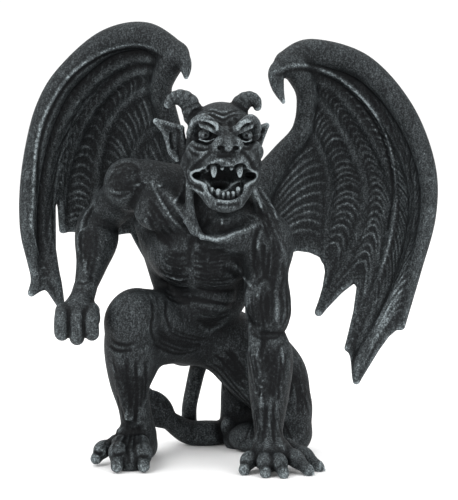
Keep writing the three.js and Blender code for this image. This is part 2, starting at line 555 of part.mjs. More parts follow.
function thin({ points, faces }, limit, care) {
  const quadric = points.map(() => new Float64Array(10));
  const around = points.map(() => new Set());
  const stamp = new Uint32Array(points.length);
  const alive = new Uint8Array(faces.length).fill(1);
  const normalOf = (a, b, c) => cross(sub(b, a), sub(c, a));

  faces.forEach(([a, b, c], f) => {
    const n = normalOf(points[a], points[b], points[c]);
    const area = Math.hypot(...n);
    if (area > 0) {
      const [x, y, z] = times(n, 1 / area);
      const d = -dot([x, y, z], points[a]);
      const weight = area * care(points[a]);
      const terms = [x * x, x * y, x * z, x * d, y * y, y * z, y * d, z * z, z * d, d * d];
      for (const v of [a, b, c]) terms.forEach((term, i) => { quadric[v][i] += term * weight; });
    }
    for (const v of [a, b, c]) around[v].add(f);
  });

  const cost = (q, [x, y, z]) => q[0] * x * x + 2 * q[1] * x * y + 2 * q[2] * x * z + 2 * q[3] * x
    + q[4] * y * y + 2 * q[5] * y * z + 2 * q[6] * y + q[7] * z * z + 2 * q[8] * z + q[9];

  // Place with the least cost for a merged edge, kept near the edge's middle
  const best = (q, p0, p1) => {
    const middle = mix(p0, p1, 0.5);
    const reach = farthestMove * Math.hypot(...sub(p1, p0));
    const [a, b, c, e, f, h] = [q[0], q[1], q[2], q[4], q[5], q[7]];
    const det = a * (e * h - f * f) - b * (b * h - c * f) + c * (b * f - c * e);
    const scale = (a + e + h) / 3;
    if (Math.abs(det) > leastBend * scale ** 3) {
      const [u, v, w] = [-q[3], -q[6], -q[8]];
      const spot = [
        (u * (e * h - f * f) - b * (v * h - f * w) + c * (v * f - e * w)) / det,
        (a * (v * h - f * w) - u * (b * h - c * f) + c * (b * w - v * c)) / det,
        (a * (e * w - v * f) - b * (b * w - v * c) + u * (b * f - c * e)) / det,
      ];
      if (Math.hypot(...sub(spot, middle)) < reach) return spot;
    }
    return [middle, p0, p1].reduce((low, p) => (cost(q, p) < cost(q, low) ? p : low));
  };

  const heap = [];
  const push = (entry) => {
    let i = heap.push(entry) - 1;
    while (i > 0) {
      const parent = (i - 1) >> 1;
      if (heap[parent].cost <= heap[i].cost) break;
      [heap[parent], heap[i]] = [heap[i], heap[parent]];
      i = parent;
    }
  };
  const pop = () => {
    const top = heap[0];
    const last = heap.pop();
    if (heap.length) {
      heap[0] = last;
      let i = 0;
      for (;;) {
        let least = i;
        for (const child of [2 * i + 1, 2 * i + 2]) {
          if (child < heap.length && heap[child].cost < heap[least].cost) least = child;
        }
        if (least === i) break;
        [heap[least], heap[i]] = [heap[i], heap[least]];
        i = least;
      }
    }
    return top;
  };
  const offer = (a, b) => {
    const q = quadric[a].map((v, i) => v + quadric[b][i]);
    const spot = best(q, points[a], points[b]);
    const slack = shortFirst * Math.hypot(...sub(points[a], points[b]));
    push({ cost: cost(q, spot) + slack, a, b, spot, seen: stamp[a] + stamp[b] });
  };
  const neighbours = (v) => {
    const out = new Set();
    for (const f of around[v]) for (const w of faces[f]) if (w !== v) out.add(w);
    return out;
  };

  // A move is refused where it would fold a face over or pinch the surface to an edge
  const folds = (v, other, spot) => {
    for (const f of around[v]) {
      if (faces[f].includes(other)) continue;
      const before = faces[f].map((w) => points[w]);
      const after = faces[f].map((w) => (w === v ? spot : points[w]));
      const [n0, n1] = [normalOf(...before), normalOf(...after)];
      const size = Math.hypot(...n0) * Math.hypot(...n1);
      if (dot(n0, n1) < mostTurn * size || Math.hypot(...n1) < leastArea) return true;
    }
    return false;
  };

  faces.forEach(([a, b, c]) => {
    for (const [v, w] of [[a, b], [b, c], [c, a]]) if (v < w) offer(v, w);
  });
  let count = faces.length;
  while (count > limit && heap.length) {
    const { a, b, spot, seen } = pop();
    if (!around[a] || !around[b] || seen !== stamp[a] + stamp[b]) continue;
    const [nearA, nearB] = [neighbours(a), neighbours(b)];
    if (!nearA.has(b)) continue;
    let common = 0;
    for (const v of nearA) if (nearB.has(v)) common++;
    if (common !== 2 || folds(a, b, spot) || folds(b, a, spot)) continue;
    for (const f of around[b]) {
      if (faces[f].includes(a)) {
        alive[f] = 0;
        count--;
        for (const v of faces[f]) if (v !== b) around[v].delete(f);
      } else {
        faces[f] = faces[f].map((v) => (v === b ? a : v));
        around[a].add(f);
      }
    }
    around[b] = null;
    points[a] = spot;
    quadric[a] = quadric[a].map((v, i) => v + quadric[b][i]);
    stamp[a] = Math.max(stamp[a], stamp[b]) + 1;
    for (const v of neighbours(a)) offer(a, v);
  }
  return { points, faces: faces.filter((_, f) => alive[f]) };
}

// Fine places: head, fist, hand on the ground and foot
const finePlaces = [
  { middle: [-5, -20, 182], reach: 34, care: 9 },
  { middle: [-85, -14, 88], reach: 18, care: 5 },
  { middle: [28, -18, 10], reach: 30, care: 5 },
  { middle: [-60, 0, 12], reach: 26, care: 5 },
];

function careFor(point) {
  const drawn = times(point, 1 / unit);
  return finePlaces.reduce((most, { middle, reach, care }) => (
    Math.hypot(...sub(drawn, middle)) < reach ? Math.max(most, care) : most), 1);
}

// A solid for joins and cuts, from points and faces, and back again

const wasm = await Module();
wasm.setup();

function solidOf({ points, faces }) {
  const rename = new Map();
  const vertProperties = [];
  const triVerts = faces.flatMap((face) => face.map((v) => {
    if (!rename.has(v)) {
      rename.set(v, rename.size);
      vertProperties.push(...points[v]);
    }
    return rename.get(v);
  }));
  return new wasm.Manifold(new wasm.Mesh({
    numProp: 3,
    vertProperties: new Float32Array(vertProperties),
    triVerts: new Uint32Array(triVerts),
  }));
}

function boxSolid(low, high) {
  const size = sub(high, low);
  const middle = mix(low, high, 0.5);
  const box = new THREE.BoxGeometry(...size).translate(...middle);
  const position = box.attributes.position;
  const known = new Map();
  const points = [];
  const renamed = [];
  for (let i = 0; i < position.count; i++) {
    const p = [position.getX(i), position.getY(i), position.getZ(i)];
    const key = p.join();
    if (!known.has(key)) known.set(key, points.push(p) - 1);
    renamed.push(known.get(key));
  }
  const faces = [];
  for (let i = 0; i < box.index.count; i += 3) {
    faces.push([0, 1, 2].map((n) => renamed[box.index.getX(i + n)]));
  }
  return solidOf({ points, faces });
}

function geometryOf(solid) {
  const { numProp, vertProperties, triVerts } = solid.getMesh();
  const geometry = new THREE.BufferGeometry();
  const position = new Float32Array((vertProperties.length / numProp) * 3);
  for (let i = 0; i < position.length / 3; i++) {
    for (let n = 0; n < 3; n++) position[3 * i + n] = vertProperties[numProp * i + n];
  }
  geometry.setAttribute('position', new THREE.BufferAttribute(position, 3));
  geometry.setIndex(new THREE.BufferAttribute(new Uint32Array(triVerts), 1));
  return geometry;
}

// The figure, put together

trunk();
neck();
rightArm();
leftArm();
rightLeg();
leftLeg();
tail();
makeWing(leftWing);
makeWing(rightWing);
skull();
eyesAndNose();
mouth();
hornsAndEars();

const shell = thin(largestShell(skinOf(body)), faceLimit, careFor);

// What stands on the ground is pressed flat: the figure is cut off a little above its lowest clay
const below = [drawnBox.low, drawnBox.high].map((corner) => times(corner, unit));
const ground = boxSolid(below[0], [below[1][0], below[1][1], 0]);
const figure = solidOf(shell).subtract(ground);

const geometry = geometryOf(figure);
geometry.computeBoundingBox();
const box = geometry.boundingBox;
geometry.translate(-(box.min.x + box.max.x) / 2, -(box.min.y + box.max.y) / 2, -box.min.z);
geometry.computeVertexNormals();

const stoneFinish = new THREE.MeshStandardMaterial({ color: 0x2c353b, roughness: 0.72, metalness: 0 });
const gargoyle = new THREE.Mesh(geometry, stoneFinish);
gargoyle.name = 'gargoyle';

const group = new THREE.Group();
group.add(gargoyle);

export default group;
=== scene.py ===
# %% [markdown]
# The gargoyle: a cast figure from one lump of digital clay.
#
# The real figure is one casting. A sculptor built it up in clay, limb by limb, scored the wrinkles and
# the wing ripples into the skin, and the caster then stained it nearly black and brushed pale grey over
# whatever stands proud. This lesson follows the same order: block the figure in, model the head and the
# hands, score the skin, take the skin off as a mesh, and brush it.
#
# Clay is kept as a field of distances, because rounded masses that melt into each other are easy to add
# and carve that way, and awkward to join as separate meshes.

# %% Load the frame
import math

import bmesh
import bpy
import numpy as np
from mathutils import Euler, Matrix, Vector


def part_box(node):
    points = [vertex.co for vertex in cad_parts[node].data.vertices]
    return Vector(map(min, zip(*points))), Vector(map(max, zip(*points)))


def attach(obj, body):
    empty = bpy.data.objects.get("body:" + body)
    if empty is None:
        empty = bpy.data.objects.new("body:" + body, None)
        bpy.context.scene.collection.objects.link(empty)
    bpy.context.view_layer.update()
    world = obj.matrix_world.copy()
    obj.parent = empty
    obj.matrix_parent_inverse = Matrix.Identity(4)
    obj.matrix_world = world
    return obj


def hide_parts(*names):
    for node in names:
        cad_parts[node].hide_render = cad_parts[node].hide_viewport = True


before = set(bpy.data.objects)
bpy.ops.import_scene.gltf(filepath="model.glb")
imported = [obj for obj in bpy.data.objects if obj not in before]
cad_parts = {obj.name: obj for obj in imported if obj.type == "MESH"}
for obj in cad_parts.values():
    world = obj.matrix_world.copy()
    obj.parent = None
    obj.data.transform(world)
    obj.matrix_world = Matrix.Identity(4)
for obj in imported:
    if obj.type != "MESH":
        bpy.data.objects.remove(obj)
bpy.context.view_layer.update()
cad_low, cad_high = (np.array(corner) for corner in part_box("gargoyle"))
print("CAD box in metres:", cad_low, cad_high)

# %% [markdown]
# The figure is drawn in millimetres, +X to its own left, -Y to its front, +Z up, on a ground at z = 0.
# Its drawing is a little off the middle of its box, so the finished mesh is moved to the frame's box at
# the end. The camera stands where the photographer did: straight in front, a little above.

# %% Drawing frame and camera
MM = 0.001
drawn_middle = np.array([-0.19, 17.35, 0.0])      # the box's middle, in the drawing
picture = {"wide": 458, "high": 500}
view_from = {"distance": 1100.0, "elevation": 6.0, "aim": (0.0, 0.0, 125.0), "focal_px": 1925.0}

tilt = math.radians(view_from["elevation"])
aim = np.array(view_from["aim"])
eye = aim + view_from["distance"] * np.array([0.0, -math.cos(tilt), math.sin(tilt)])


def add_camera():
    data = bpy.data.cameras.new("photo_camera")
    data.sensor_width = 36.0
    data.lens = view_from["focal_px"] * data.sensor_width / picture["high"]
    camera = bpy.data.objects.new("photo_camera", data)
    bpy.context.scene.collection.objects.link(camera)
    camera.location = Vector((eye - drawn_middle) * MM)
    camera.rotation_euler = Euler((math.radians(90.0) - tilt, 0.0, 0.0))
    bpy.context.scene.camera = camera
    return camera


camera = add_camera()
print("camera at", tuple(round(v, 3) for v in camera.location), "lens", round(camera.data.lens, 1), "mm")

# %% [markdown]
# Clay is a set of small cubes of sample points. Each sample holds the distance to the modelled surface,
# less than zero inside. A shape only touches the cubes near it. Two shapes meet in a fillet, because the
# lesser of two distances is rounded off where they are close. A grid of the whole box at this fineness
# would hold sixty million samples; cubes that lie along the skin hold a tenth of that.

# %% Clay
FAR = 1000.0
CUBE = 8                                           # samples along one side of a cube


def smooth_min(a, b, blend):
    low = np.minimum(a, b)
    if blend <= 0:
        return low
    h = np.maximum(blend - np.abs(a - b), 0.0)
    return low - h * h / (4.0 * blend)


def turned(angles):
    return np.array(Euler([math.radians(a) for a in angles], "XYZ").to_matrix())


def along(points, t):
    """Smooth curve through the rows of points, at t from 0 to 1; all columns are carried."""
    points = np.asarray(points, float)
    spans = len(points) - 1
    i = min(int(t * spans), spans - 1)
    u = t * spans - i
    p0, p1, p2, p3 = (points[min(max(k, 0), spans)] for k in (i - 1, i, i + 1, i + 2))
    return 0.5 * (2 * p1 + (p2 - p0) * u + (2 * p0 - 5 * p1 + 4 * p2 - p3) * u * u
                  + (3 * p1 - p0 - 3 * p2 + p3) * u ** 3)


class Clay:
    def __init__(self, cubes, step, reach):
        self.cubes = cubes
        self.step = step
        self.reach = reach
        self.start = cubes * (CUBE * step)
        self.value = np.full((len(cubes),) + (CUBE,) * 3, FAR, np.float32)
        self.touched = np.zeros(len(cubes), bool)

    def empty(self):
        return Clay(self.cubes, self.step, self.reach)

    def near(self, low, high):
        side = CUBE * self.step
        return np.nonzero(((self.start <= high) & (self.start + side >= low)).all(1))[0]

    def places(self, chosen):
        steps = np.arange(CUBE) * self.step
        start = self.start[chosen]
        x = start[:, 0][:, None, None, None] + steps[None, :, None, None]
        y = start[:, 1][:, None, None, None] + steps[None, None, :, None]
        z = start[:, 2][:, None, None, None] + steps[None, None, None, :]
        return x.astype(np.float32), y.astype(np.float32), z.astype(np.float32)

    def shape(self, low, high, blend, measure):
        room = blend + self.reach
        chosen = self.near(np.asarray(low) - room, np.asarray(high) + room)
        if len(chosen) == 0:
            return
        distance = measure(*self.places(chosen))
        self.value[chosen] = smooth_min(self.value[chosen], distance, blend)
        self.touched[chosen] = True

    def ball(self, centre, half, blend=4.0, turn=(0, 0, 0)):
        c = np.asarray(centre, float)
        r = np.asarray(half, float) * np.ones(3)
        m = turned(turn)
        reach = np.sqrt(((m * r) ** 2).sum(1))

        def measure(x, y, z):
            p = [x - c[0], y - c[1], z - c[2]]
            a, b, d = ((m[0, k] * p[0] + m[1, k] * p[1] + m[2, k] * p[2]) / r[k] for k in range(3))
            inner = np.sqrt(a * a + b * b + d * d)
            slope = np.sqrt((a / r[0]) ** 2 + (b / r[1]) ** 2 + (d / r[2]) ** 2) + 1e-9
            return inner * (inner - 1.0) / slope

        self.shape(c - reach, c + reach, blend, measure)

    def limb(self, a, b, ra, rb, blend=4.0, belly=0.0, rings=None):
        """Rounded limb; rings is a function of 0 to 1 along it that is added to its radius."""
        p, q = np.asarray(a, float), np.asarray(b, float)
        line = q - p
        length2 = float(line @ line) + 1e-12
        reach = max(ra, rb) + belly + (0.5 if rings else 0.0)

        def measure(x, y, z):
            dx, dy, dz = x - p[0], y - p[1], z - p[2]
            t = np.clip((dx * line[0] + dy * line[1] + dz * line[2]) / length2, 0.0, 1.0)
            gap = np.sqrt((dx - line[0] * t) ** 2 + (dy - line[1] * t) ** 2 + (dz - line[2] * t) ** 2)
            radius = ra + (rb - ra) * t + belly * 4.0 * t * (1.0 - t)
            return gap - (radius + rings(t) if rings else radius)

        self.shape(np.minimum(p, q) - reach, np.maximum(p, q) + reach, blend, measure)

    def strand(self, points, blend=3.0, steps=12, rings=None):
        """Strand along a smooth curve of x, y, z, radius; rings(0 to 1) is added to the radius."""
        whole = self.empty()
        whole.reach = self.reach + blend
        count = steps * (len(points) - 1)
        for i in range(count):
            a, b = along(points, i / count), along(points, (i + 1) / count)
            part = (lambda t, i=i: rings((i + t) / count)) if rings else None
            whole.limb(a[:3], b[:3], a[3], b[3], 0.0, rings=part)
        self.join(whole, blend)

    def triangle(self, a, b, c, thickness):
        """Skin over a triangle; thickness is a number for each corner."""
        a, b, c = (np.asarray(p, float) for p in (a, b, c))
        half = np.asarray(thickness, float) / 2.0
        ab, ac = b - a, c - a
        low = np.minimum(np.minimum(a, b), c) - half.max()
        high = np.maximum(np.maximum(a, b), c) + half.max()
        d00, d01, d11 = ab @ ab, ab @ ac, ac @ ac
        whole = d00 * d11 - d01 * d01 + 1e-12
        bc = c - b
        bc2 = bc @ bc + 1e-12

        def measure(x, y, z):
            px, py, pz = x - a[0], y - a[1], z - a[2]
            d20 = px * ab[0] + py * ab[1] + pz * ab[2]
            d21 = px * ac[0] + py * ac[1] + pz * ac[2]
            v = (d11 * d20 - d01 * d21) / whole
            w = (d00 * d21 - d01 * d20) / whole
            inside = (v >= 0) & (w >= 0) & (v + w <= 1)
            best = None
            for kind in range(3):
                if kind == 0:
                    s = np.clip(d20 / (d00 + 1e-12), 0, 1)
                    vv, ww = s, s * 0
                elif kind == 1:
                    s = np.clip(d21 / (d11 + 1e-12), 0, 1)
                    vv, ww = s * 0, s
                else:
                    s = ((px - ab[0]) * bc[0] + (py - ab[1]) * bc[1] + (pz - ab[2]) * bc[2]) / bc2
                    s = np.clip(s, 0, 1)
                    vv, ww = 1 - s, s
                gap = ((px - ab[0] * vv - ac[0] * ww) ** 2 + (py - ab[1] * vv - ac[1] * ww) ** 2
                       + (pz - ab[2] * vv - ac[2] * ww) ** 2)
                if best is None:
                    best, bv, bw = gap, vv, ww
                else:
                    less = gap < best
                    best = np.where(less, gap, best)
                    bv = np.where(less, vv, bv)
                    bw = np.where(less, ww, bw)
            flat = ((px - ab[0] * v - ac[0] * w) ** 2 + (py - ab[1] * v - ac[1] * w) ** 2
                    + (pz - ab[2] * v - ac[2] * w) ** 2)
            best = np.where(inside, flat, best)
            bv = np.where(inside, v, bv)
            bw = np.where(inside, w, bw)
            return np.sqrt(best) - (half[0] * (1 - bv - bw) + half[1] * bv + half[2] * bw)

        self.shape(low, high, 0.0, measure)

    def join(self, other, blend):
        t = other.touched
        self.value[t] = smooth_min(self.value[t], other.value[t], blend)
        self.touched |= t

    def carve(self, other, blend):
        t = other.touched
        self.value[t] = -smooth_min(-self.value[t], other.value[t], blend)

    def line_field(self, points, room):
        """Distance to a polyline of x, y, z, weight and the weight at the nearest place."""
        low, high = points[:, :3].min(0) - room, points[:, :3].max(0) + room
        chosen = self.near(low, high)
        middle = self.start[chosen] + CUBE * self.step / 2.0
        spread = np.linalg.norm(middle[:, None] - points[None, :, :3], axis=2).min(1)
        longest = np.linalg.norm(np.diff(points[:, :3], axis=0), axis=1).max()
        chosen = chosen[spread < room + longest / 2 + CUBE * self.step * 0.87]
        x, y, z = self.places(chosen)
        best = np.full((len(chosen),) + (CUBE,) * 3, 1e9, np.float32)
        weight = np.zeros_like(best)
        for p, q in zip(points[:-1], points[1:]):
            line = q[:3] - p[:3]
            length2 = float(line @ line) + 1e-12
            dx, dy, dz = x - p[0], y - p[1], z - p[2]
            t = np.clip((dx * line[0] + dy * line[1] + dz * line[2]) / length2, 0.0, 1.0)
            gap = (dx - line[0] * t) ** 2 + (dy - line[1] * t) ** 2 + (dz - line[2] * t) ** 2
            less = gap < best
            best = np.where(less, gap, best)
            weight = np.where(less, p[3] + (q[3] - p[3]) * t, weight)
        return chosen, np.sqrt(best), weight

    def score(self, points, width, depth):
        """Presses a soft groove along a polyline, or raises a ridge where depth is negative."""
        chosen, gap, weight = self.line_field(points, 2.5 * width)
        self.value[chosen] += (depth * weight * np.exp(-(gap / width) ** 2)).astype(np.float32)

# %% [markdown]
# Work starts on a rough clay, two millimetres between samples, that fills the whole box. It is quick,
# and it shows where the skin runs. Each part of the body is a function of the clay it is put on, so that
# the same parts can be put on the fine clay later.

# %% Rough clay
ROUGH_STEP = 2.0
FINE_STEP = 0.6
drawn_box = np.array([[-130.0, -60.0, -8.0], [130.0, 94.0, 264.0]])


def cubes_filling(step):
    side = CUBE * step
    first = np.floor(drawn_box[0] / side).astype(int)
    last = np.ceil(drawn_box[1] / side).astype(int)
    axes = [np.arange(a, b) for a, b in zip(first, last)]
    return np.stack(np.meshgrid(*axes, indexing="ij"), -1).reshape(-1, 3), first, last - first


rough_cubes, rough_first, rough_count = cubes_filling(ROUGH_STEP)
rough = Clay(rough_cubes, ROUGH_STEP, reach=8.0)
body_parts = []


def put_on_rough(*parts):
    for part in parts:
        part(rough)
        body_parts.append(part)
        litres = (rough.value < 0).sum() * ROUGH_STEP ** 3 / 1000.0
        print(f"{part.__name__}: {litres:.0f} cm3 so far")


# %% [markdown]
# The trunk leans forward over the raised knee. Pelvis, waist, rib cage and chest are ellipsoids, the
# broad back muscles are limbs down its sides, and the chest muscles are flat lumps laid on top. An
# ellipsoid that can be turned is the quickest way to a mass with a direction.

# %% Trunk and neck
LEAN = (-24, 0, 0)


def trunk(clay):
    clay.ball((-11, 42, 70), (28, 20, 18), 6)
    clay.ball((-15, 28, 96), (26, 17, 20), 8, LEAN)
    clay.ball((-15.5, 14, 127), (33, 23, 28), 8, LEAN)
    clay.ball((-14, 20, 146), (34, 18, 17), 8)
    clay.ball((-13, 20, 157), (21, 14, 12), 8)
    clay.ball((-15, 14, 100), (18, 9, 16), 6, LEAN)
    for x, z in ((-27, 66), (5, 64)):
        clay.ball((x, 54, z), (16, 16, 17), 5)
    for x, y, z in ((-36, -1, 147), (4, -7, 136)):
        clay.ball((x, y, z), (18, 10, 12), 5, LEAN)
    clay.limb((-45.6, 17, 139), (-38.4, 24, 106), 9.4, 7.4, 5)
    clay.limb((13, 14, 126), (6, 24, 100), 9, 7, 5)


def neck(clay):
    clay.limb((-12, 10, 152), (-6, 0, 172), 16, 14, 6)
    clay.limb((-15, 15, 160), (-46, 12, 167), 10, 9, 6)
    clay.limb((-9, 12, 158), (18, 5, 144), 10, 9, 6)
    clay.strand(((-44, 0, 165, 1.8), (-33, -8.4, 154, 1.7), (-20, -15.6, 138, 1.4)), 6)
    clay.strand(((-15, -16.4, 134, 1.4), (-2, -17.8, 133.5, 1.6), (16, -9.8, 141, 1.8)), 6)
    clay.strand(((-22, -5, 168, 2.4), (-22, -11.8, 152, 2.2), (-19, -14.2, 138, 2)), 5)
    clay.strand(((12, -4, 164, 2.4), (17, -5, 152, 2.4), (22, -3, 144, 2.2)), 5)


put_on_rough(trunk, neck)

# %% [markdown]
# An arm is a strand: a curve whose points carry a radius, so that the upper arm swells over the biceps
# and the forearm below the elbow. The right arm swings back and then forward to a hanging fist; the left
# one is a straight prop down to the hand on the ground.

# %% Arms
def right_arm(clay):
    clay.limb((-30, 10, 156), (-55, 8, 161), 13, 12, 6)
    clay.ball((-58, 9, 163), (13.6, 13.5, 14), 5)
    clay.limb((-57, 12, 160), (-68, 22, 149), 12.5, 10, 5)
    clay.limb((-66, 20, 150), (-78, 34, 137), 10.5, 9, 5, 1)
    clay.strand(((-79, 34, 137, 10), (-77.2, 24, 130, 12.8), (-78.8, 8, 117, 9.2), (-82, -10, 103, 6)), 4)
    right_fist(clay)


def right_fist(clay):
    clay.limb((-82, -10, 103), (-84.5, -17, 94), 6, 8.4, 3)
    clay.ball((-85.5, -19, 90), (10.4, 9, 9), 3)
    first, apart, radius = -93.6, 8.4, 4.2
    for i, low in enumerate((81, 78.6, 81)):
        x = first + apart * i
        clay.strand(((x, -21, 93, radius), (x, -29, 88, radius), (x, -27, low, radius),
                     (x, -18, low, radius - 0.8)), 1.5)
    clay.strand(((-77.5, -14, 93, 3.8), (-76, -20, 88, 3.6), (-77.5, -28, 84.5, 3.4)), 1.5)


def left_arm(clay):
    clay.limb((-4, 6, 138), (20, 0, 132), 14, 12, 6)
    clay.ball((22, 0, 128), (15.2, 15, 18), 5)
    clay.strand(((21.4, 0, 124, 13), (21.3, 0, 107, 12.8), (22.8, 2, 90, 13.4), (22.2, 3, 78, 10),
                 (23.8, 0, 63, 13), (23.2, -5, 45, 11.6), (22.6, -11, 23, 8.2), (23.5, -14, 14, 9)), 4)
    clay.strand(((17, -10, 114, 3), (14, -11, 98, 5), (18, -7, 84, 2.6)), 4)
    clay.strand(((14, -5, 80, 3), (16, -12, 64, 4.4), (20, -16, 40, 2.4)), 4)


put_on_rough(right_arm, left_arm)

# %% [markdown]
# Fingers and toes are short strands from a base over a knuckle to a pad, each with a blunt claw. One
# function makes them all, from three places and a radius.

# %% Hand on the ground
def digit(clay, base, knuckle, tip, radius):
    base, knuckle, tip = (np.asarray(p, float) for p in (base, knuckle, tip))
    out = tip - knuckle
    claw = tip + (out[0] * 0.36, out[1] * 0.36, -1.4)
    near, far = 0.5 * (base + knuckle), 0.5 * (knuckle + tip)
    clay.strand(((*base, radius), (*near, 0.84 * radius), (*knuckle, 1.04 * radius), (*far, 0.76 * radius),
                 (*tip, 0.66 * radius)), 1.2)
    clay.limb(tip + (0, 0, 1), claw, 0.56 * radius, 0.6, 0.5)


def left_hand(clay):
    clay.ball((24, -16, 9), (12, 11, 9), 4)
    digit(clay, (17, -15, 10), (11.4, -21, 7.4), (8.6, -26, 2.8), 4.9)
    digit(clay, (20, -18, 11), (20.6, -27, 7.6), (20.4, -33, 2.6), 4.9)
    digit(clay, (24, -18, 11), (28, -28, 7.6), (30.6, -34, 2.5), 4.9)
    digit(clay, (30, -14, 13), (37.6, -21, 8.2), (45, -27.6, 2.6), 4.9)
    digit(clay, (33, -8, 13), (43, -11.6, 8.4), (51.4, -17, 2.5), 4.6)


put_on_rough(left_hand)

# %% [markdown]
# The right knee is up, with a round knee cap over a shin that narrows to the ankle, and a broad foot
# with three clawed toes. The left leg folds: the thigh goes down to the knee on the ground, and the shin
# lies back under the seat.

# %% Legs
def right_leg(clay):
    clay.limb((-22, 38, 73), (-52.4, -3, 88.5), 19, 15, 7, 1)
    clay.limb((-18, 42, 69), (-45, 10, 69), 14, 13, 5)
    clay.ball((-55.6, -8, 86.5), (13.6, 14, 15.2), 4)
    clay.ball((-57, -14, 88), (9, 6.6, 10.5), 8)
    clay.strand(((-56.4, -6, 82, 14.4), (-56.6, -2, 67, 15), (-57.8, 3, 50, 11.4), (-55, 8, 33, 9.4),
                 (-52.8, 12, 18, 9.8)), 5)
    clay.ball((-53, 9, 60), (12, 11, 17), 5)
    clay.strand(((-61, -14, 72, 2.6), (-62, -8, 50, 2.6), (-58, -1, 28, 2)), 3)
    right_foot(clay)


def right_foot(clay):
    clay.limb((-52, 15, 12), (-57, -2, 7.5), 9.6, 9.5, 4)
    clay.ball((-50, 22, 7), (8, 10, 9), 4)
    clay.ball((-57, -9, 5.5), (10.5, 11, 8), 4)
    clay.ball((-62, 6, 17.5), (3.6, 4, 4), 3)
    digit(clay, (-65, 6, 12), (-73, 1.5, 8.8), (-76.6, -2.5, 4.2), 5)
    digit(clay, (-62.6, -3, 13), (-63.4, -14, 10.5), (-63.6, -22, 4), 5.3)
    digit(clay, (-51, -2, 13), (-49, -13, 9.6), (-48.4, -21, 3.8), 5.2)


def left_leg(clay):
    clay.limb((2, 40, 62), (34.5, 38, 27), 18.6, 13.6, 7, 2)
    clay.strand(((22, 38, 62, 13), (32.4, 37, 48, 13.6), (36.6, 37, 30, 12), (37, 38, 11, 12.4)), 5)
    clay.strand(((8, 50, 46, 12), (6.4, 56, 31, 11.4), (5.4, 60, 17, 10.5)), 5)
    clay.limb((36, 44, 11), (10, 64, 18), 12.4, 11, 5, 1)
    clay.strand(((8, 64, 22, 10), (5, 58, 12, 9), (4, 50, 5, 7.5)), 4)
    clay.ball((14, 40, 8), (14, 12, 9), 5)
    clay.ball((-1, 49, 13), (4, 4, 5), 3)


put_on_rough(right_leg, left_leg)

# %% [markdown]
# The tail leaves the rump, drops to the ground, turns there and comes forward behind the right heel,
# where it ends in a flat barb. It is one strand, with a flat ellipsoid for the barb.

# %% Tail
def tail(clay):
    clay.strand(((-14, 55, 60, 8), (-18.2, 61, 49, 5.4), (-21.4, 63, 36, 4.8), (-24.4, 66, 19, 4.6),
                 (-22, 72, 5, 5), (-9, 73, 4.6, 6), (-4, 65, 6, 7), (-12, 57, 7.2, 7.8),
                 (-24, 56, 8, 7.4), (-33, 53, 13.6, 6.2), (-41, 49, 21, 4.5)), 3)
    clay.ball((-44, 47, 24), (13.4, 4.2, 9.5), 3, (0, 48, 12))
    clay.strand(((-45, 47, 27, 3.4), (-47.4, 46.6, 33, 2), (-48.4, 46.4, 37.4, 0.7)), 1.6)


put_on_rough(tail)

# %% [markdown]
# A wing is built like a bat's. An arm rises from the back to a clawed wrist, six fingers fan out from
# there, and a thin skin hangs between each two of them, cut back in a scallop at its edge. The skin is
# laid as many small triangles with a thickness, because a distance to a triangle is exact and a thin
# sheet stays thin.

# %% Wings
WING_SKIN = 4.2
left_wing_form = {
    "arm": ((6, 30, 144, 11), (20, 43, 161, 9), (32, 50, 177, 6.6), (42.5, 50, 190, 5.6),
            (45.4, 49, 203, 5.6), (45, 45, 216, 6.4), (38, 39, 229, 7.6)),
    "thumb": ((35, 38, 230, 7), (28, 32, 225.6, 5.2), (28.4, 29, 217, 3.6), (31.6, 28, 208.6, 1.2)),
    "fingers": (
        ((34, 38, 231, 7.6), (49, 46, 237, 8.2), (78.5, 48, 229, 7.4), (102.4, 44, 203.4, 6.6),
         (115.6, 36, 171.4, 5.6), (116.6, 30, 142.5, 4.8), (109, 24, 110.7, 3.6), (100.4, 20, 78.4, 2.2)),
        ((43, 42, 227, 4), (66.4, 52, 223.3, 3.8), (94.7, 54, 194.2, 3.6), (108.6, 46, 161.9, 3.4),
         (108.5, 38, 132.9, 3.4), (97, 28, 96, 3.2), (77, 15.5, 59.6, 3.9), (74.2, 14, 46.8, 1.2)),
        ((45, 44, 222.2, 4), (63, 56, 214.9, 3.6), (83.4, 62, 190.9, 3.4), (97.9, 60, 162.2, 3.2),
         (98, 50, 134.7, 3), (87, 36, 98.6, 2.8), (69.8, 22, 65, 1.6)),
        ((46, 46, 214, 4), (59, 58, 201.8, 3.6), (74.1, 66, 178.7, 3.4), (82.1, 66, 154.5, 3.2),
         (75.5, 54, 125.4, 3.2), (53, 32, 84.8, 2.6)),
        ((43, 49, 195, 4), (51, 57, 184, 3.4), (59.4, 64, 163, 3.2), (58.6, 58, 138, 3),
         (56.1, 48, 117, 2)),
        ((20, 42, 162, 5), (20, 38, 138, 4), (15, 31, 113, 3)),
    ),
    "scallops": (0.06, 0.03, 0.14, 0.08, 0.12),
}
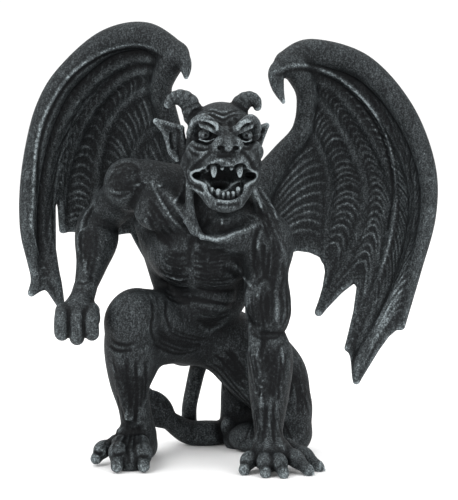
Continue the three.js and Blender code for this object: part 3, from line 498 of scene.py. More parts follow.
right_wing_form = {
    "arm": ((-20, 30, 146, 11), (-26, 44, 158, 9), (-31.5, 50, 179.5, 7), (-37, 50, 202, 6.2),
            (-40, 46, 217, 6.4), (-34, 41, 232, 8)),
    "thumb": ((-31.5, 39, 236, 7.4), (-27, 35, 232, 5), (-25.2, 33, 227.6, 3.2), (-25, 32, 223, 1.4)),
    "fingers": (
        ((-31, 40, 236, 7.6), (-49.5, 46, 246.8, 8.2), (-72.8, 48, 242.4, 7.8), (-95.6, 46, 223, 7.2),
         (-106.8, 42, 204.4, 7), (-113.6, 37, 181.4, 6.2), (-117.2, 32, 156.8, 5.6),
         (-117.4, 27, 133.6, 4.8), (-114.4, 23, 115, 3.2), (-112.6, 20, 106, 2.6), (-115, 18, 98, 1.2)),
        ((-35, 42, 231, 4), (-57, 52, 233.5, 3.8), (-82, 54, 219, 3.6), (-101, 50, 192, 3.4),
         (-109.4, 42, 157, 3.4), (-109, 33, 128, 3.4), (-101, 21, 104, 3.8), (-97.8, 17, 90.6, 1.6)),
        ((-38, 44, 226, 4), (-58.9, 56, 224, 3.6), (-80.3, 62, 206, 3.4), (-94.5, 60, 178, 3.2),
         (-99, 54, 152.4, 3), (-98.8, 46, 132.5, 2.2)),
        ((-41, 46, 218, 4), (-56.1, 58, 211, 3.6), (-71.6, 66, 195, 3.4), (-79, 66, 171, 3.2),
         (-79.8, 58, 146.1, 3.2), (-77.5, 50, 124, 2.4)),
        ((-38.5, 49, 194, 4), (-50.2, 58, 186, 3.4), (-59.6, 64, 167.5, 3.2), (-60.6, 60, 148, 3),
         (-57.6, 50, 132, 2)),
        ((-27, 42, 154, 5), (-38, 38, 134, 4), (-42, 31, 109, 3)),
    ),
    "scallops": (0.09, 0.33, 0.05, 0.04, -0.08),
}


def skin_place(one, two, scallop, s, t, sag=2.5):
    """Place on the skin between two fingers: s runs along them, t from one to the other."""
    bow = 4.0 * t * (1.0 - t)
    reach = s * (1.0 - scallop * bow)
    p = along(one, reach)[:3] * (1.0 - t) + along(two, reach)[:3] * t
    return p + (0.0, sag * bow * math.sin(math.pi * s), 0.0)


def webbing(skin, one, two, scallop):
    lines, rows = 14, 5
    places = [[skin_place(one, two, scallop, i / lines, j / rows) for j in range(rows + 1)]
              for i in range(lines + 1)]
    for i in range(lines):
        for j in range(rows):
            a, b, c, d = places[i][j], places[i + 1][j], places[i + 1][j + 1], places[i][j + 1]
            skin.triangle(a, b, c, (WING_SKIN,) * 3)
            skin.triangle(a, c, d, (WING_SKIN,) * 3)


FINGER_SLIM = 0.78


def wing(clay, form):
    skin = clay.empty()
    fingers = form["fingers"]
    for one, two, scallop in zip(fingers[:-1], fingers[1:], form["scallops"]):
        webbing(skin, one, two, scallop)
    skin.strand(fingers[0], 2)
    for finger in fingers[1:]:
        skin.strand([(*p[:3], FINGER_SLIM * p[3]) for p in finger], 2)
    skin.strand(form["arm"], 3)
    skin.strand(form["thumb"], 2)
    clay.join(skin, 4)


def left_wing(clay):
    wing(clay, left_wing_form)


def right_wing(clay):
    wing(clay, right_wing_form)


put_on_rough(left_wing, right_wing)

# %% [markdown]
# The head is drawn about its own middle, looking along -Y, and then turned a little to its left. Drawing
# it straight first means that most features are made once and mirrored. Deep places, such as the eye
# sockets and the mouth, are carved out before the eyeballs, lips and teeth go in.

# %% Head
head_middle = np.array([-4.0, -14.0, 182.0])
HEAD_TURN = (0, 1, 8)
head_turn = turned(HEAD_TURN)


def on_head(point):
    p = np.asarray(point, float)
    return np.concatenate([head_turn @ p[:3] + head_middle, p[3:]])


def head_ball(clay, centre, half, blend):
    clay.ball(on_head(centre), half, blend, HEAD_TURN)


def head_hollow(clay, centre, half, blend):
    tool = clay.empty()
    tool.reach += blend
    tool.ball(on_head(centre), half, 0.0, HEAD_TURN)
    clay.carve(tool, blend)


HEAD_STEPS = 6


def head_strand(clay, points, blend):
    clay.strand([on_head(p) for p in points], blend, HEAD_STEPS)


def skull(clay):
    head_ball(clay, (0, 4, 8), (19.5, 22, 19.8), 4)
    head_ball(clay, (0, 0, -4), (20, 18, 15), 6)
    head_ball(clay, (0, -13, -3), (15, 12, 8), 5)
    head_ball(clay, (0, -19, -27.2), (7, 6.2, 4.6), 4)
    for side in (-1, 1):
        head_strand(clay, ((17 * side, 2, -7, 6), (14 * side, -8.6, -15, 4.8),
                           (7 * side, -16.4, -25.6, 4)), 4)
        head_ball(clay, (14.6 * side, -12, 1.5), (5.6, 5.5, 4.5), 3)


put_on_rough(skull)

# %% [markdown]
# The face is built from the bone out: first the masses of brow, cheek, muzzle, lips and chin, blended well
# into the skull, and only then the sockets and the mouth, carved with a hard edge. A real sculptor works
# in this order too, because the hard edges are what catches the brush later.

# %% Masses of the face
def face_masses(clay):
    for side in (-1, 1):
        head_strand(clay, ((2.8 * side, -20, 12.4, 2), (6 * side, -21.2, 14.2, 2.3),
                           (9.6 * side, -20.6, 17.6, 2.4), (13.4 * side, -17.6, 19.4, 2.4),
                           (17.6 * side, -12, 16.4, 2.2), (19.4 * side, -7.2, 10, 1.8)), 5)
        head_ball(clay, (16 * side, -11.5, 0), (5.4, 5.4, 5), 4)
        head_ball(clay, (7.2 * side, -19.4, -1.6), (7.4, 5, 4), 4)
        head_strand(clay, ((6.6 * side, -22.4, 2.8, 1.6), (11.5 * side, -19.4, -1.4, 2),
                           (16.2 * side, -12.6, -6.2, 1.9), (18.6 * side, -7.5, -12, 1.8)), 4)
        head_strand(clay, ((0, -23, -5.2, 1.5), (3.5 * side, -23.2, -3.9, 1.7),
                           (7.5 * side, -22, -3.7, 1.7), (10.6 * side, -19.6, -6, 1.5),
                           (13 * side, -17.2, -9.2, 1.4),
                           (17.6 * side, -11.8, -11.4, 1.2)), 1.8)
        head_strand(clay, ((0, -22.2, -27.2, 1.6), (6.2 * side, -21.2, -26.6, 1.6),
                           (8.6 * side, -19.4, -24.4, 1.5), (11 * side, -17.4, -20.6, 1.4),
                           (12.4 * side, -16.2, -17.2, 1.4), (15 * side, -13.8, -15.6, 1.3),
                           (17.4 * side, -11, -13, 1.1)), 1.8)
        head_strand(clay, ((20 * side, -4, -10, 1), (17.8 * side, -8.6, -16.4, 1.3),
                           (12.6 * side, -14.4, -22.4, 1.3), (8.6 * side, -18, -28, 1)), 3)
    head_ball(clay, (0, -18, -28), (7.4, 6.4, 4), 4)


def face_hollows(clay):
    for side in (-1, 1):
        head_hollow(clay, (12.4 * side, -19.6, 11.8), (6.6, 8.4, 5.6), 0.7)
        head_hollow(clay, (7.6 * side, -21.6, 9.6), (4.4, 6.4, 3.6), 0.8)
        head_hollow(clay, (15.4 * side, -16, 9), (4.8, 7, 4.4), 0.8)
        head_hollow(clay, (7.2 * side, -24, -9.6), (4.6, 18, 4.5), 0.6)
        head_hollow(clay, (11 * side, -18, -12.4), (4.2, 12, 4), 0.6)
        head_hollow(clay, (14 * side, -15.4, -12.8), (4.4, 10, 2.5), 0.6)
    head_hollow(clay, (0, -16, -15.4), (11.4, 24, 9), 0.6)
    head_hollow(clay, (0, -16, -19), (9.8, 24, 7), 0.6)
    head_hollow(clay, (0, -16, -13.4), (15.8, 15, 4.4), 0.6)


put_on_rough(face_masses, face_hollows)

# %% [markdown]
# Each eye is a ball deep in its socket, with a pupil pricked in and a thin lid below. The nose is short
# and broad, a wedge that widens from the brow to two flared wings, with nostrils that open forward.

# %% Eyes and nose
def eyes(clay):
    for side in (-1, 1):
        head_ball(clay, (11.6 * side, -13.2, 9.8), (3.5, 3.5, 3.2), 0.5)
        head_hollow(clay, (11.3 * side, -16.8, 9.7), (1, 1, 1), 0.3)
        head_strand(clay, ((5.2 * side, -20.6, 11.4, 1.3), (9.4 * side, -19.4, 13.6, 1.5),
                           (13.8 * side, -16.8, 15.2, 1.4)), 2.4)
        head_strand(clay, ((6.4 * side, -18.2, 8, 0.4), (10.6 * side, -17.6, 6.4, 0.5),
                           (14.8 * side, -14.8, 7.4, 0.4)), 1.2)
        head_strand(clay, ((5.8 * side, -20.8, 5, 0.8), (11.5 * side, -19, 2.8, 0.9),
                           (17.6 * side, -12.4, 5, 0.8)), 2.4)


def nose(clay):
    head_strand(clay, ((0, -19.6, 12, 1.6), (0, -22, 9.4, 2.4), (0, -24.4, 6.4, 3.4),
                       (0, -25.2, 4.6, 3)), 2)
    head_ball(clay, (0, -25, 2.8), (1.4, 1.6, 1.4), 1.2)
    for side in (-1, 1):
        head_strand(clay, ((1.6 * side, -21.6, 9.4, 1.8), (4.4 * side, -23.4, 6.8, 2.9),
                           (6 * side, -23, 4.6, 2.9)), 2)
        head_hollow(clay, (4.2 * side, -26.4, 3.2), (2.1, 3, 1.5), 0.5)


put_on_rough(eyes, nose)

# %% [markdown]
# The teeth are blunt pegs with round ends, as small teeth come out of a mould: two fangs above with two
# stumps between them, and an uneven row below, highest at its ends.

# %% Teeth
def teeth(clay):
    lower = ((-7.4, -19.6, 1.5), (-4.4, -20.8, 1.9), (-1.6, -22, 1.2), (1, -21.8, 1.4), (3.8, -21.6, 1.4),
             (6.8, -19.4, 1.6))
    for across, top, radius in lower:
        back = 0.045 * across * across
        head_strand(clay, ((across, -20 + back, -27, radius),
                           (across, -20.8 + back, top, 0.75 * radius)), 0.3)
    for side in (-1, 1):
        head_strand(clay, ((7.2 * side, -19.8, -5.6, 1.9), (7.2 * side, -21.4, -9.6, 1.7),
                           (7.2 * side, -21.6, -12.4, 0.9)), 0.4)
        head_strand(clay, ((2.6 * side, -20.4, -6.2, 1.4), (2.6 * side, -21, -8.4, 0.9)), 0.4)
        head_strand(clay, ((10.8 * side, -17, -20.4, 1.1), (11 * side, -17.2, -17.4, 0.6)), 0.3)


put_on_rough(teeth)

# %% [markdown]
# The horns are short and curl outward, with rings pressed into them. A ring is a ripple added to the
# radius along the strand. The ears are thin pointed flaps with a rolled rim, laid as triangles like the
# wing skin.

# %% Horns and ears
EAR_SKIN = 3.0
EAR_CUP_BLEND = 1.5
HORN_RINGS = 8


def horn_rings(t):
    return 0.8 * np.cos(2 * math.pi * HORN_RINGS * t) * (1.0 - 0.6 * t)


def horns(clay):
    clay.strand(((-20, -8, 202, 5.2), (-22.4, -8, 208.8, 4.9), (-27.4, -8, 212.2, 4.1), (-32, -8, 211, 3),
                 (-34.4, -8, 208.2, 1.9)), 1.6, 16, horn_rings)
    clay.strand(((4, -8, 202, 5), (6.8, -8, 208.4, 4.7), (11.3, -8, 211.4, 3.9), (14.9, -8, 210, 3),
                 (16, -8, 206.8, 2)), 1.6, 16, horn_rings)


def ear(clay, tip, top, rim, root):
    """A flap from its top edge to its rim, with the rim rolled; root is where it joins the head."""
    flap = clay.empty()
    corners = [tip, *rim, root]
    for a, b in zip(corners[:-1], corners[1:]):
        flap.triangle(top, a, b, (EAR_SKIN,) * 3)
    flap.strand(((*tip, 1.1), *((*p, 1.8) for p in rim)), 1)
    flap.strand(((*tip, 1.1), (*top, 1.8)), 1)
    clay.join(flap, 2)
    cup = clay.empty()
    cup.reach += EAR_CUP_BLEND
    cup.ball(0.5 * (np.asarray(top, float) + rim[1]) - (0, 3.4, 0), (2.6, 2.6, 6.5), 0.0)
    clay.carve(cup, EAR_CUP_BLEND)


def ears(clay):
    ear(clay, (-41.4, -2, 198.6), (-27, -3, 194.6),
        ((-36.4, -3, 193), (-34.2, -4, 187), (-32.6, -4, 181), (-29.5, -4, 177.5)),
        (-24, -4, 178))
    ear(clay, (21.4, 2, 196), (12, 1, 192.5), ((18, 2, 188), (15.6, 1, 181)), (12, 0, 177))


put_on_rough(horns, ears)

# %% [markdown]
# The fine clay has samples every 0.6 mm, which is about a pixel of the photo, but only in the cubes that
# the rough skin passes through. The same parts are put on it in the same order. The ground is cut last,
# because the real casting was rubbed flat underneath.

# %% Fine clay
SKIN_ROOM = 5.6


def filled(clay, first, count):
    """The cubes of a clay set out as one block of samples; cubes it doesn't hold are left at FAR."""
    block = np.full((count[0], CUBE, count[1], CUBE, count[2], CUBE), FAR, np.float32)
    i, j, k = (clay.cubes - first).T
    block[i, :, j, :, k, :] = clay.value
    return block.reshape(tuple(count * CUBE))


def sampled(block, first, step, points):
    """Values of a block at points, by the nearest sample."""
    index = np.rint(points / step).astype(int) - first * CUBE
    index = np.clip(index, 0, np.array(block.shape) - 1)
    return block[index[..., 0], index[..., 1], index[..., 2]]


def blended(block, first, step, points):
    """Values of a block at points, between the eight samples round each."""
    at = points / step - first * CUBE
    low = np.clip(np.floor(at).astype(int), 0, np.array(block.shape) - 2)
    f = np.clip(at - low, 0.0, 1.0)
    total = 0.0
    for corner in np.ndindex(2, 2, 2):
        share = np.prod(np.where(corner, f, 1.0 - f), axis=-1)
        i = low + corner
        total = total + share * block[i[..., 0], i[..., 1], i[..., 2]]
    return total


rough_block = filled(rough, rough_first, rough_count)
fine_cubes, fine_first, fine_count = cubes_filling(FINE_STEP)
centres = (fine_cubes + 0.5) * (CUBE * FINE_STEP)
rough_at_cube = blended(rough_block, rough_first, ROUGH_STEP, centres)
along_skin = (np.abs(rough_at_cube) < SKIN_ROOM) & (centres[:, 2] > -CUBE * FINE_STEP)
fine = Clay(fine_cubes[along_skin], FINE_STEP, reach=3.2)
for part in body_parts:
    part(fine)
print(f"fine clay: {along_skin.sum()} cubes of {len(fine_cubes)},",
      f"{fine.value.size / 1e6:.1f} million samples")


def whole_block(clay):
    block = filled(clay, fine_first, fine_count)
    inner = (rough_at_cube < 0) & ~along_skin
    i, j, k = (fine_cubes[inner] - fine_first).T
    cubes = block.reshape(fine_count[0], CUBE, fine_count[1], CUBE, fine_count[2], CUBE)
    cubes[i, :, j, :, k, :] = -FAR
    height = (np.arange(block.shape[2]) + fine_first[2] * CUBE) * FINE_STEP
    return np.maximum(block, -height.astype(np.float32))


# %% [markdown]
# The lines of the skin are drawn where the photo shows them. A line is a few pixels of the photo joined
# by a curve; a ray through each point of it finds the skin, and the clay is scored there. A groove is
# pressed in and a ridge is raised. Lines of the back are drawn the same way on a plain back view.

# %% Scoring lines into the skin
plain_skin = whole_block(fine)
chance = np.random.default_rng(11)
BREAK = 5.0                                        # mm between two hits that ends a line
ROUND_FIGURE = 130.0                               # mm from the middle, past all of the figure
RAY_LENGTH, RAY_STEP = 300.0, 0.4                  # mm
GROOVE, RIDGE = 1.0, -1.0


def photo_rays(pixels):
    forward = np.array([0.0, math.cos(tilt), -math.sin(tilt)])
    up = np.array([0.0, math.sin(tilt), math.cos(tilt)])
    across = np.array([1.0, 0.0, 0.0])
    ways = (forward * view_from["focal_px"] + across * (pixels[:, :1] - picture["wide"] / 2)
            + up * (picture["high"] / 2 - pixels[:, 1:2]))
    ways /= np.linalg.norm(ways, axis=1)[:, None]
    near = view_from["distance"] - ROUND_FIGURE
    return eye + ways * near, ways


def plain_rays(view):
    """Straight rays for a view whose points are (x, z) or (y, z) in millimetres."""
    def rays(places):
        starts, ways = np.zeros((len(places), 3)), np.zeros((len(places), 3))
        flat, deep, sign = {"back": (0, 1, 1), "left": (1, 0, 1), "right": (1, 0, -1)}[view]
        starts[:, flat] = places[:, 0]
        starts[:, 2] = places[:, 1]
        starts[:, deep] = ROUND_FIGURE * sign
        ways[:, deep] = -sign
        return starts, ways
    return rays


def skin_lines(line, rays, spacing=1.2):
    """The line as curves on the skin: arrays of x, y, z, weight, broken where the skin drops away."""
    line = np.asarray(line, float)
    length = np.linalg.norm(np.diff(line, axis=0), axis=1).sum()
    count = max(4, int(length / spacing))
    flat = np.array([along(line, i / count) for i in range(count + 1)])
    starts, ways = rays(flat)
    reach = np.arange(0.0, RAY_LENGTH, RAY_STEP)
    seen = sampled(plain_skin, fine_first, FINE_STEP, starts[:, None] + ways[:, None] * reach[:, None]) < 0
    hit, first = seen.any(1), seen.argmax(1)
    places = starts + ways * reach[first][:, None]
    share = np.linspace(0.0, 1.0, count + 1)
    weight = np.sqrt(np.clip(np.sin(math.pi * share), 0.0, 1.0))
    rows = np.column_stack([places, weight])
    whole = hit[1:] & hit[:-1] & (np.linalg.norm(np.diff(places, axis=0), axis=1) < BREAK)
    pieces, piece = [], [rows[0]]
    for row, joined in zip(rows[1:], whole):
        if not joined:
            pieces.append(piece)
            piece = []
        piece.append(row)
    pieces.append(piece)
    return [np.array(p) for p in pieces if len(p) > 2]


def draw(kind, width, depth, *lines, rays=photo_rays):
    """Grooves or ridges, their width and depth in millimetres, along lines given by their pixels."""
    for line in lines:
        for piece in skin_lines(line, rays):
            fine.score(piece, width, kind * depth)


def fibres(one, two, count, width, depth, rays=photo_rays):
    """Fine grooves laid side by side between two lines, each a little different from its neighbours."""
    one, two = np.asarray(one, float), np.asarray(two, float)
    for i in range(count):
        t = (i + chance.uniform(0.15, 0.85)) / count
        line = one * (1.0 - t) + two * t
        first, last = chance.uniform(0.0, 0.3), chance.uniform(0.7, 1.0)
        cut = [along(line, first + (last - first) * k / 5) for k in range(6)]
        cut = np.array(cut) + chance.uniform(-0.5, 0.5, (6, 2))
        draw(GROOVE, width * chance.uniform(0.8, 1.2), depth * chance.uniform(0.5, 1.2), cut, rays=rays)


# %% [markdown]
# On the face the lines are ridges along the brow and the lips, deep folds from the nose to the jaw, and
# the wrinkles of the forehead. They are what makes the snarl.

# %% Lines of the face
brow_and_lip_rims = (
    ((188, 133), (190.7, 125.7), (195, 121), (199.3, 119.3), (203.6, 121.9), (208.7, 127.5), (213, 130.9),
     (216.5, 130), (218.2, 127.5), (216.5, 122.3)),
    ((235.3, 130), (239.6, 125.7), (242.2, 122.3), (246.5, 120.6), (249.5, 122.3), (251.6, 126.6),
     (254.2, 131.7)),
    ((190.7, 173.8), (194.2, 170.3), (200.2, 171.2), (207, 172), (209.6, 167.8), (213, 162.6),
     (216.5, 160.5),
     (220.7, 160), (225, 161.8), (232.8, 164.3), (238.8, 161.8), (242.2, 160.5), (245.6, 160.9),
     (248.2, 163.5), (250.8, 168.6), (254.2, 173.8)),
    ((190.7, 175.5), (193.3, 179.8), (197.6, 181.9), (202.7, 183.2), (205.3, 186.6), (207, 190.9),
     (209.6, 195.2), (213.9, 200.4)),
    ((183, 173.8), (183.4, 178.9), (185.6, 184), (189.9, 187.5), (195, 190), (201.9, 192.6), (205.3, 196),
     (207.9, 202), (211.3, 205.5)),
)
draw(RIDGE, 0.7, 0.34, *brow_and_lip_rims)
nose_folds = (
    ((211.3, 151.5), (205.3, 156.6), (201, 160.9), (194.2, 166.9), (190, 171)),
    ((240, 150), (245, 154), (250, 160), (253.5, 166)),
)
draw(GROOVE, 1.1, 0.9, *nose_folds)
frown_furrows = (
    ((219.9, 122.5), (219.9, 127), (220.7, 132)),
    ((230.2, 120.5), (230.4, 126), (231, 132)),
)
draw(GROOVE, 0.9, 1.0, *frown_furrows)
cheek_and_chin_folds = (
    ((187, 166), (186, 172), (187.6, 180), (192, 185), (199, 188), (204, 191.5)),
    ((190, 143), (196, 148), (203, 150), (210, 148.4)),
    ((188, 148), (192, 153), (199, 156)),
    ((242, 147.5), (248, 148.6), (253, 144)),
    ((216, 204.4), (228, 205), (240, 204)),
    ((213, 186), (214.6, 194), (217, 199)),
)
draw(GROOVE, 0.9, 0.7, *cheek_and_chin_folds)
forehead_wrinkles = (
    ((208, 112), (214.7, 112.2), (223.3, 115), (232, 112), (238, 110.5)),
    ((203, 115.5), (210, 115), (216.5, 117.6), (223.3, 120.4), (230.2, 116.4), (238, 115)),
    ((207, 119.6), (213, 120), (218.2, 122.5)),
    ((233, 118), (236.6, 120), (237, 124)),
    ((216, 155.5), (222, 156.6), (229, 156), (236, 156.4)),
    ((191, 112), (196, 110), (203, 110)),
    ((187, 120), (190, 116), (196, 113.6)),
)
draw(GROOVE, 0.8, 0.6, *forehead_wrinkles)
forehead_rolls = (
    ((208, 109.5), (214.7, 109.8), (223.3, 112.4), (232, 109.6)),
    ((206, 113), (213, 113), (223.3, 117.4), (231, 113.4), (238, 112)),
    ((196, 150.6), (203, 152.4), (209, 151)),
)
draw(RIDGE, 0.8, 0.3, *forehead_rolls)
ear_furrows = (
    ((178.4, 128), (178.6, 140), (179.6, 152), (181, 162)),
    ((172, 132), (171.4, 140), (173, 150)),
    ((263, 128), (261, 136), (260, 144)),
)
draw(GROOVE, 1.2, 1.0, *ear_furrows)

# %% [markdown]
# The neck is all strands: the collar bones, the two muscles that meet in the notch between them, and
# thinner ones beside the throat, with hollows pressed in between.

# %% Lines of the neck and chest
neck_hollows = (
    ((160, 186), (166, 198), (174, 211), (183, 222)),
    ((204, 222), (214, 226), (226, 228), (240, 224), (252, 216)),
)
draw(GROOVE, 3.2, 1.6, *neck_hollows)
collar_edges = (
    ((150.7, 179.9), (156.1, 192.1), (164.3, 207), (171.1, 217.8), (180.6, 227.3), (187, 232.4)),
    ((198.2, 234.1), (205, 236.8), (215.8, 239.6), (226.7, 236.8), (236.2, 232.8), (245.7, 230),
     (256.5, 224.6), (267.4, 217.8)),
)
draw(RIDGE, 0.9, 0.5, *collar_edges)
neck_tendons = (
    ((181.9, 178.5), (181.9, 189.3), (177.8, 197.5), (171, 205.6)),
    ((221.3, 218), (222.6, 226)),
    ((252.5, 185.3), (257.9, 198.8), (263.3, 209.7), (271.5, 217.8)),
    ((258, 186), (266, 197), (273, 208), (277, 220)),
    ((232.1, 265.3), (238.9, 268), (243, 276.2), (248.4, 283), (252.5, 288.4)),
)
draw(RIDGE, 1.0, 0.5, *neck_tendons)
chest_partings = (
    ((192.6, 236), (190.6, 245), (189, 256), (189, 268)),
    ((222, 268), (230, 271), (237, 277)),
    ((143, 182), (140, 190), (133, 201), (128, 210)),
)
draw(GROOVE, 2.4, 1.2, *chest_partings)
rib_and_belly_folds = (
    ((160.2, 269), (167, 274.5), (180.6, 277.2), (189, 276)),
    ((161.6, 278), (168.3, 284), (177.8, 288), (188, 288)),
    ((166, 296), (176, 301), (190, 303)),
    ((191.4, 296.5), (205, 300.5), (226.7, 304.3), (234, 303)),
    ((196, 287), (212, 291), (234, 290)),
    ((165, 292.9), (185, 298.6), (207.9, 302.4)),
    ((193, 252), (200, 256), (208, 259), (220, 259)),
)
draw(GROOVE, 1.2, 0.8, *rib_and_belly_folds)
belly_rolls = (
    ((197.9, 325.7), (207.9, 330.7), (217.9, 327.1), (227.9, 320)),
    ((196.8, 242.3), (198.2, 253.1), (204, 257)),
    ((162, 272), (172, 278), (186, 280)),
)
draw(RIDGE, 1.8, 0.5, *belly_rolls)
left_chest_span = (
    ((193, 246), (204, 249), (216, 250), (230, 248)),
    ((192, 284), (206, 288), (218, 289), (234, 286)),
)
fibres(*left_chest_span, 26, 0.65, 0.56)
right_chest_span = (
    ((163, 246), (172, 250), (180, 252), (188, 250)),
    ((163, 294), (173, 300), (182, 303), (190, 300)),
)
fibres(*right_chest_span, 22, 0.65, 0.53)
right_breast_span = (
    ((150, 196), (158, 208), (168, 222), (180, 236)),
    ((146, 214), (152, 228), (160, 240), (172, 252)),
)
fibres(*right_breast_span, 15, 0.75, 0.47)
belly_span = (
    ((193, 304), (206, 309), (218, 310), (232, 308)),
    ((196, 322), (207, 327), (216, 326), (228, 318)),
)
fibres(*belly_span, 9, 0.85, 0.35)

# %% [markdown]
# On the arms the lines follow the muscles: the shoulder's fan, the split between the upper arm's two
# heads, and tendons that run down to the wrist.

# %% Lines of the arms
arm_furrows = (
    ((109.8, 194), (118, 196), (124.3, 194.4), (131, 192), (137.5, 189.6), (145, 183.8)),
    ((95.2, 223.4), (95.9, 245.9), (93.9, 260.4), (91.3, 273.7), (89.9, 286)),
    ((93.9, 205.3), (87.3, 216.8), (84, 228)),
    ((262.5, 226), (256.5, 233.6), (253.9, 246), (254, 262)),
    ((272.8, 226), (278.2, 245), (276.9, 265.3), (272.8, 285.7), (272.1, 308.6), (274.3, 330)),
    ((282, 262), (284, 276), (281, 290), (282.5, 306), (280, 326)),
    ((252, 286), (258, 282), (265.7, 277), (273, 284)),
    ((280.7, 342.9), (274.3, 360), (263, 376), (256, 392)),
    ((263.6, 338), (262, 350), (257, 364)),
)
draw(GROOVE, 1.5, 0.65, *arm_furrows)
shoulder_dimple = ((133, 172), (137, 178), (138.4, 184))
draw(GROOVE, 2.6, 1.4, shoulder_dimple)
arm_tendons = (
    ((109, 191), (118, 193), (126, 191.4), (136, 186.6)),
    ((245.4, 291.4), (245.2, 308.6), (250.7, 327.9)),
    ((267.9, 216.4), (275, 233), (284, 252), (286.6, 266)),
    ((267.9, 216.4), (260, 232), (257.6, 250), (261, 268)),
    ((276.4, 296), (276.4, 310), (275.4, 322)),
    ((95.9, 201), (86, 212.9), (81.6, 226), (79, 240)),
    ((76.7, 234), (79.4, 249.9), (84.6, 262), (84.6, 276)),
    ((279.6, 343), (283, 356), (281, 376), (278, 398)),
    ((249, 346), (247.4, 360), (251, 378), (256, 396)),
    ((261, 386), (261, 410), (258, 432), (253, 446)),
    ((270, 392), (270, 414), (268, 434), (268, 452)),
    ((277, 402), (277, 420), (279, 438), (286, 452)),
)
draw(RIDGE, 1.3, 0.4, *arm_tendons)
elbow_and_wrist_creases = (
    ((250.7, 333), (257, 337), (265, 338.6), (274, 338), (281, 335)),
    ((76.5, 282), (82, 283.6), (88, 282)),
    ((265.6, 396), (265.4, 416), (263, 436)),
    ((273.6, 404), (273.6, 424), (274, 442)),
)
draw(GROOVE, 0.8, 0.4, *elbow_and_wrist_creases)
right_shoulder_span = (
    ((142, 172), (134, 164), (124, 162), (114, 167)),
    ((143, 185), (134, 190), (122, 192), (110, 190)),
)
fibres(*right_shoulder_span, 20, 0.75, 0.70)
left_upper_arm_span = (
    ((254, 240), (252, 254), (253, 268), (256, 280)),
    ((275, 238), (277, 254), (275, 270), (270, 282)),
)
fibres(*left_upper_arm_span, 14, 0.75, 0.59)
left_elbow_span = (
    ((248, 294), (247, 306), (250, 320), (253, 330)),
    ((270, 290), (270, 304), (270, 318), (271, 330)),
)
fibres(*left_elbow_span, 14, 0.75, 0.56)
left_forearm_span = (
    ((250, 346), (250, 362), (254, 380), (257, 396)),
    ((284, 348), (286, 366), (282, 386), (279, 404)),
)
fibres(*left_forearm_span, 20, 0.75, 0.59)
right_forearm_span = (
    ((82, 224), (78, 240), (80, 256), (82, 274)),
    ((94, 226), (94, 244), (92, 258), (89, 274)),
)
fibres(*right_forearm_span, 10, 0.75, 0.56)
right_shoulder_crown_span = (
    ((138, 176), (126, 168), (114, 172), (106, 184)),
    ((140, 188), (128, 180), (118, 184), (112, 192)),
)
fibres(*right_shoulder_crown_span, 8, 0.7, 0.4)
left_shoulder_span = (
    ((262, 190), (268, 204), (276, 220), (284, 236)),
    ((254, 200), (258, 216), (262, 230), (266, 244)),
)
fibres(*left_shoulder_span, 9, 0.7, 0.45)

# %% [markdown]
# The raised knee has a cap like a shield with folds under it, and the shin has its bone to one side and a
# muscle to the other. Knuckles and toes get a fold behind each pad.

# %% Lines of the legs
knee_and_shin_edges = (
    ((107.9, 347), (113.6, 353.4), (122, 356)),
    ((132.1, 353.9), (142.1, 350.6), (150.7, 345.7)),
    ((139.3, 368), (140.7, 388.6), (140, 408.6), (137, 426)),
    ((112.1, 362), (117, 382), (120.7, 402), (121, 420)),
)
draw(RIDGE, 1.6, 0.25, *knee_and_shin_edges)
knee_folds = (
    ((111, 338), (117, 342.9), (126.4, 344.9), (136, 342.4)),
    ((110, 345), (115, 349.6), (124, 351), (132, 349)),
    ((127.4, 358), (128.4, 380), (129.3, 404), (127.4, 426)),
    ((145, 360), (146, 380), (145, 400)),
    ((150, 298), (153, 312), (151, 328), (155, 342)),
    ((166, 300), (166, 316), (171, 330)),
    ((291.4, 357.9), (292.5, 379.3), (289.3, 398.6)),
)
draw(GROOVE, 1.1, 0.6, *knee_folds)
toe_creases = (
    ((107, 447), (108, 455), (110, 464)),
    ((126, 446), (128.4, 454), (129, 464)),
    ((112, 453), (118, 455), (124, 453)),
    ((139, 455), (144, 457), (149, 455)),
    ((94, 452), (99, 454), (103, 452)),
)
draw(GROOVE, 0.9, 0.7, *toe_creases)
outer_shin_span = (
    ((110, 356), (114, 376), (118, 398), (121, 420)),
    ((126, 360), (127, 380), (127, 400), (125, 420)),
)
fibres(*outer_shin_span, 10, 0.75, 0.59)
inner_shin_span = (
    ((130, 358), (131, 378), (131, 398), (130, 424)),
    ((145, 362), (144, 380), (143, 398), (139, 424)),
)
fibres(*inner_shin_span, 10, 0.75, 0.59)
left_thigh_span = (
    ((226, 344), (236, 356), (244, 368), (250, 380)),
    ((210, 356), (222, 368), (234, 380), (248, 390)),
)
fibres(*left_thigh_span, 12, 0.85, 0.59)
left_haunch_span = (
    ((294, 360), (302, 376), (306, 394), (307, 414)),
    ((291, 372), (295, 386), (297, 402), (298, 420)),
)
fibres(*left_haunch_span, 10, 0.85, 0.59)
right_thigh_span = (
    ((160, 318), (176, 330), (194, 336), (212, 338)),
    ((150, 344), (164, 352), (180, 356), (200, 350)),
)
fibres(*right_thigh_span, 9, 0.7, 0.4)
left_forearm_front_span = (
    ((258, 344), (262, 364), (260, 384), (256, 404)),
    ((276, 346), (276, 366), (272, 386), (268, 406)),
)
fibres(*left_forearm_front_span, 10, 0.7, 0.45)
left_hand_span = (
    ((250, 404), (250, 418), (246, 432), (238, 446)),
    ((282, 406), (284, 420), (290, 434), (298, 448)),
)
fibres(*left_hand_span, 14, 0.7, 0.45)
right_foot_span = (
    ((114, 424), (110, 434), (104, 442), (98, 450)),
    ((142, 424), (142, 434), (143, 442), (145, 450)),
)
fibres(*right_foot_span, 12, 0.7, 0.45)

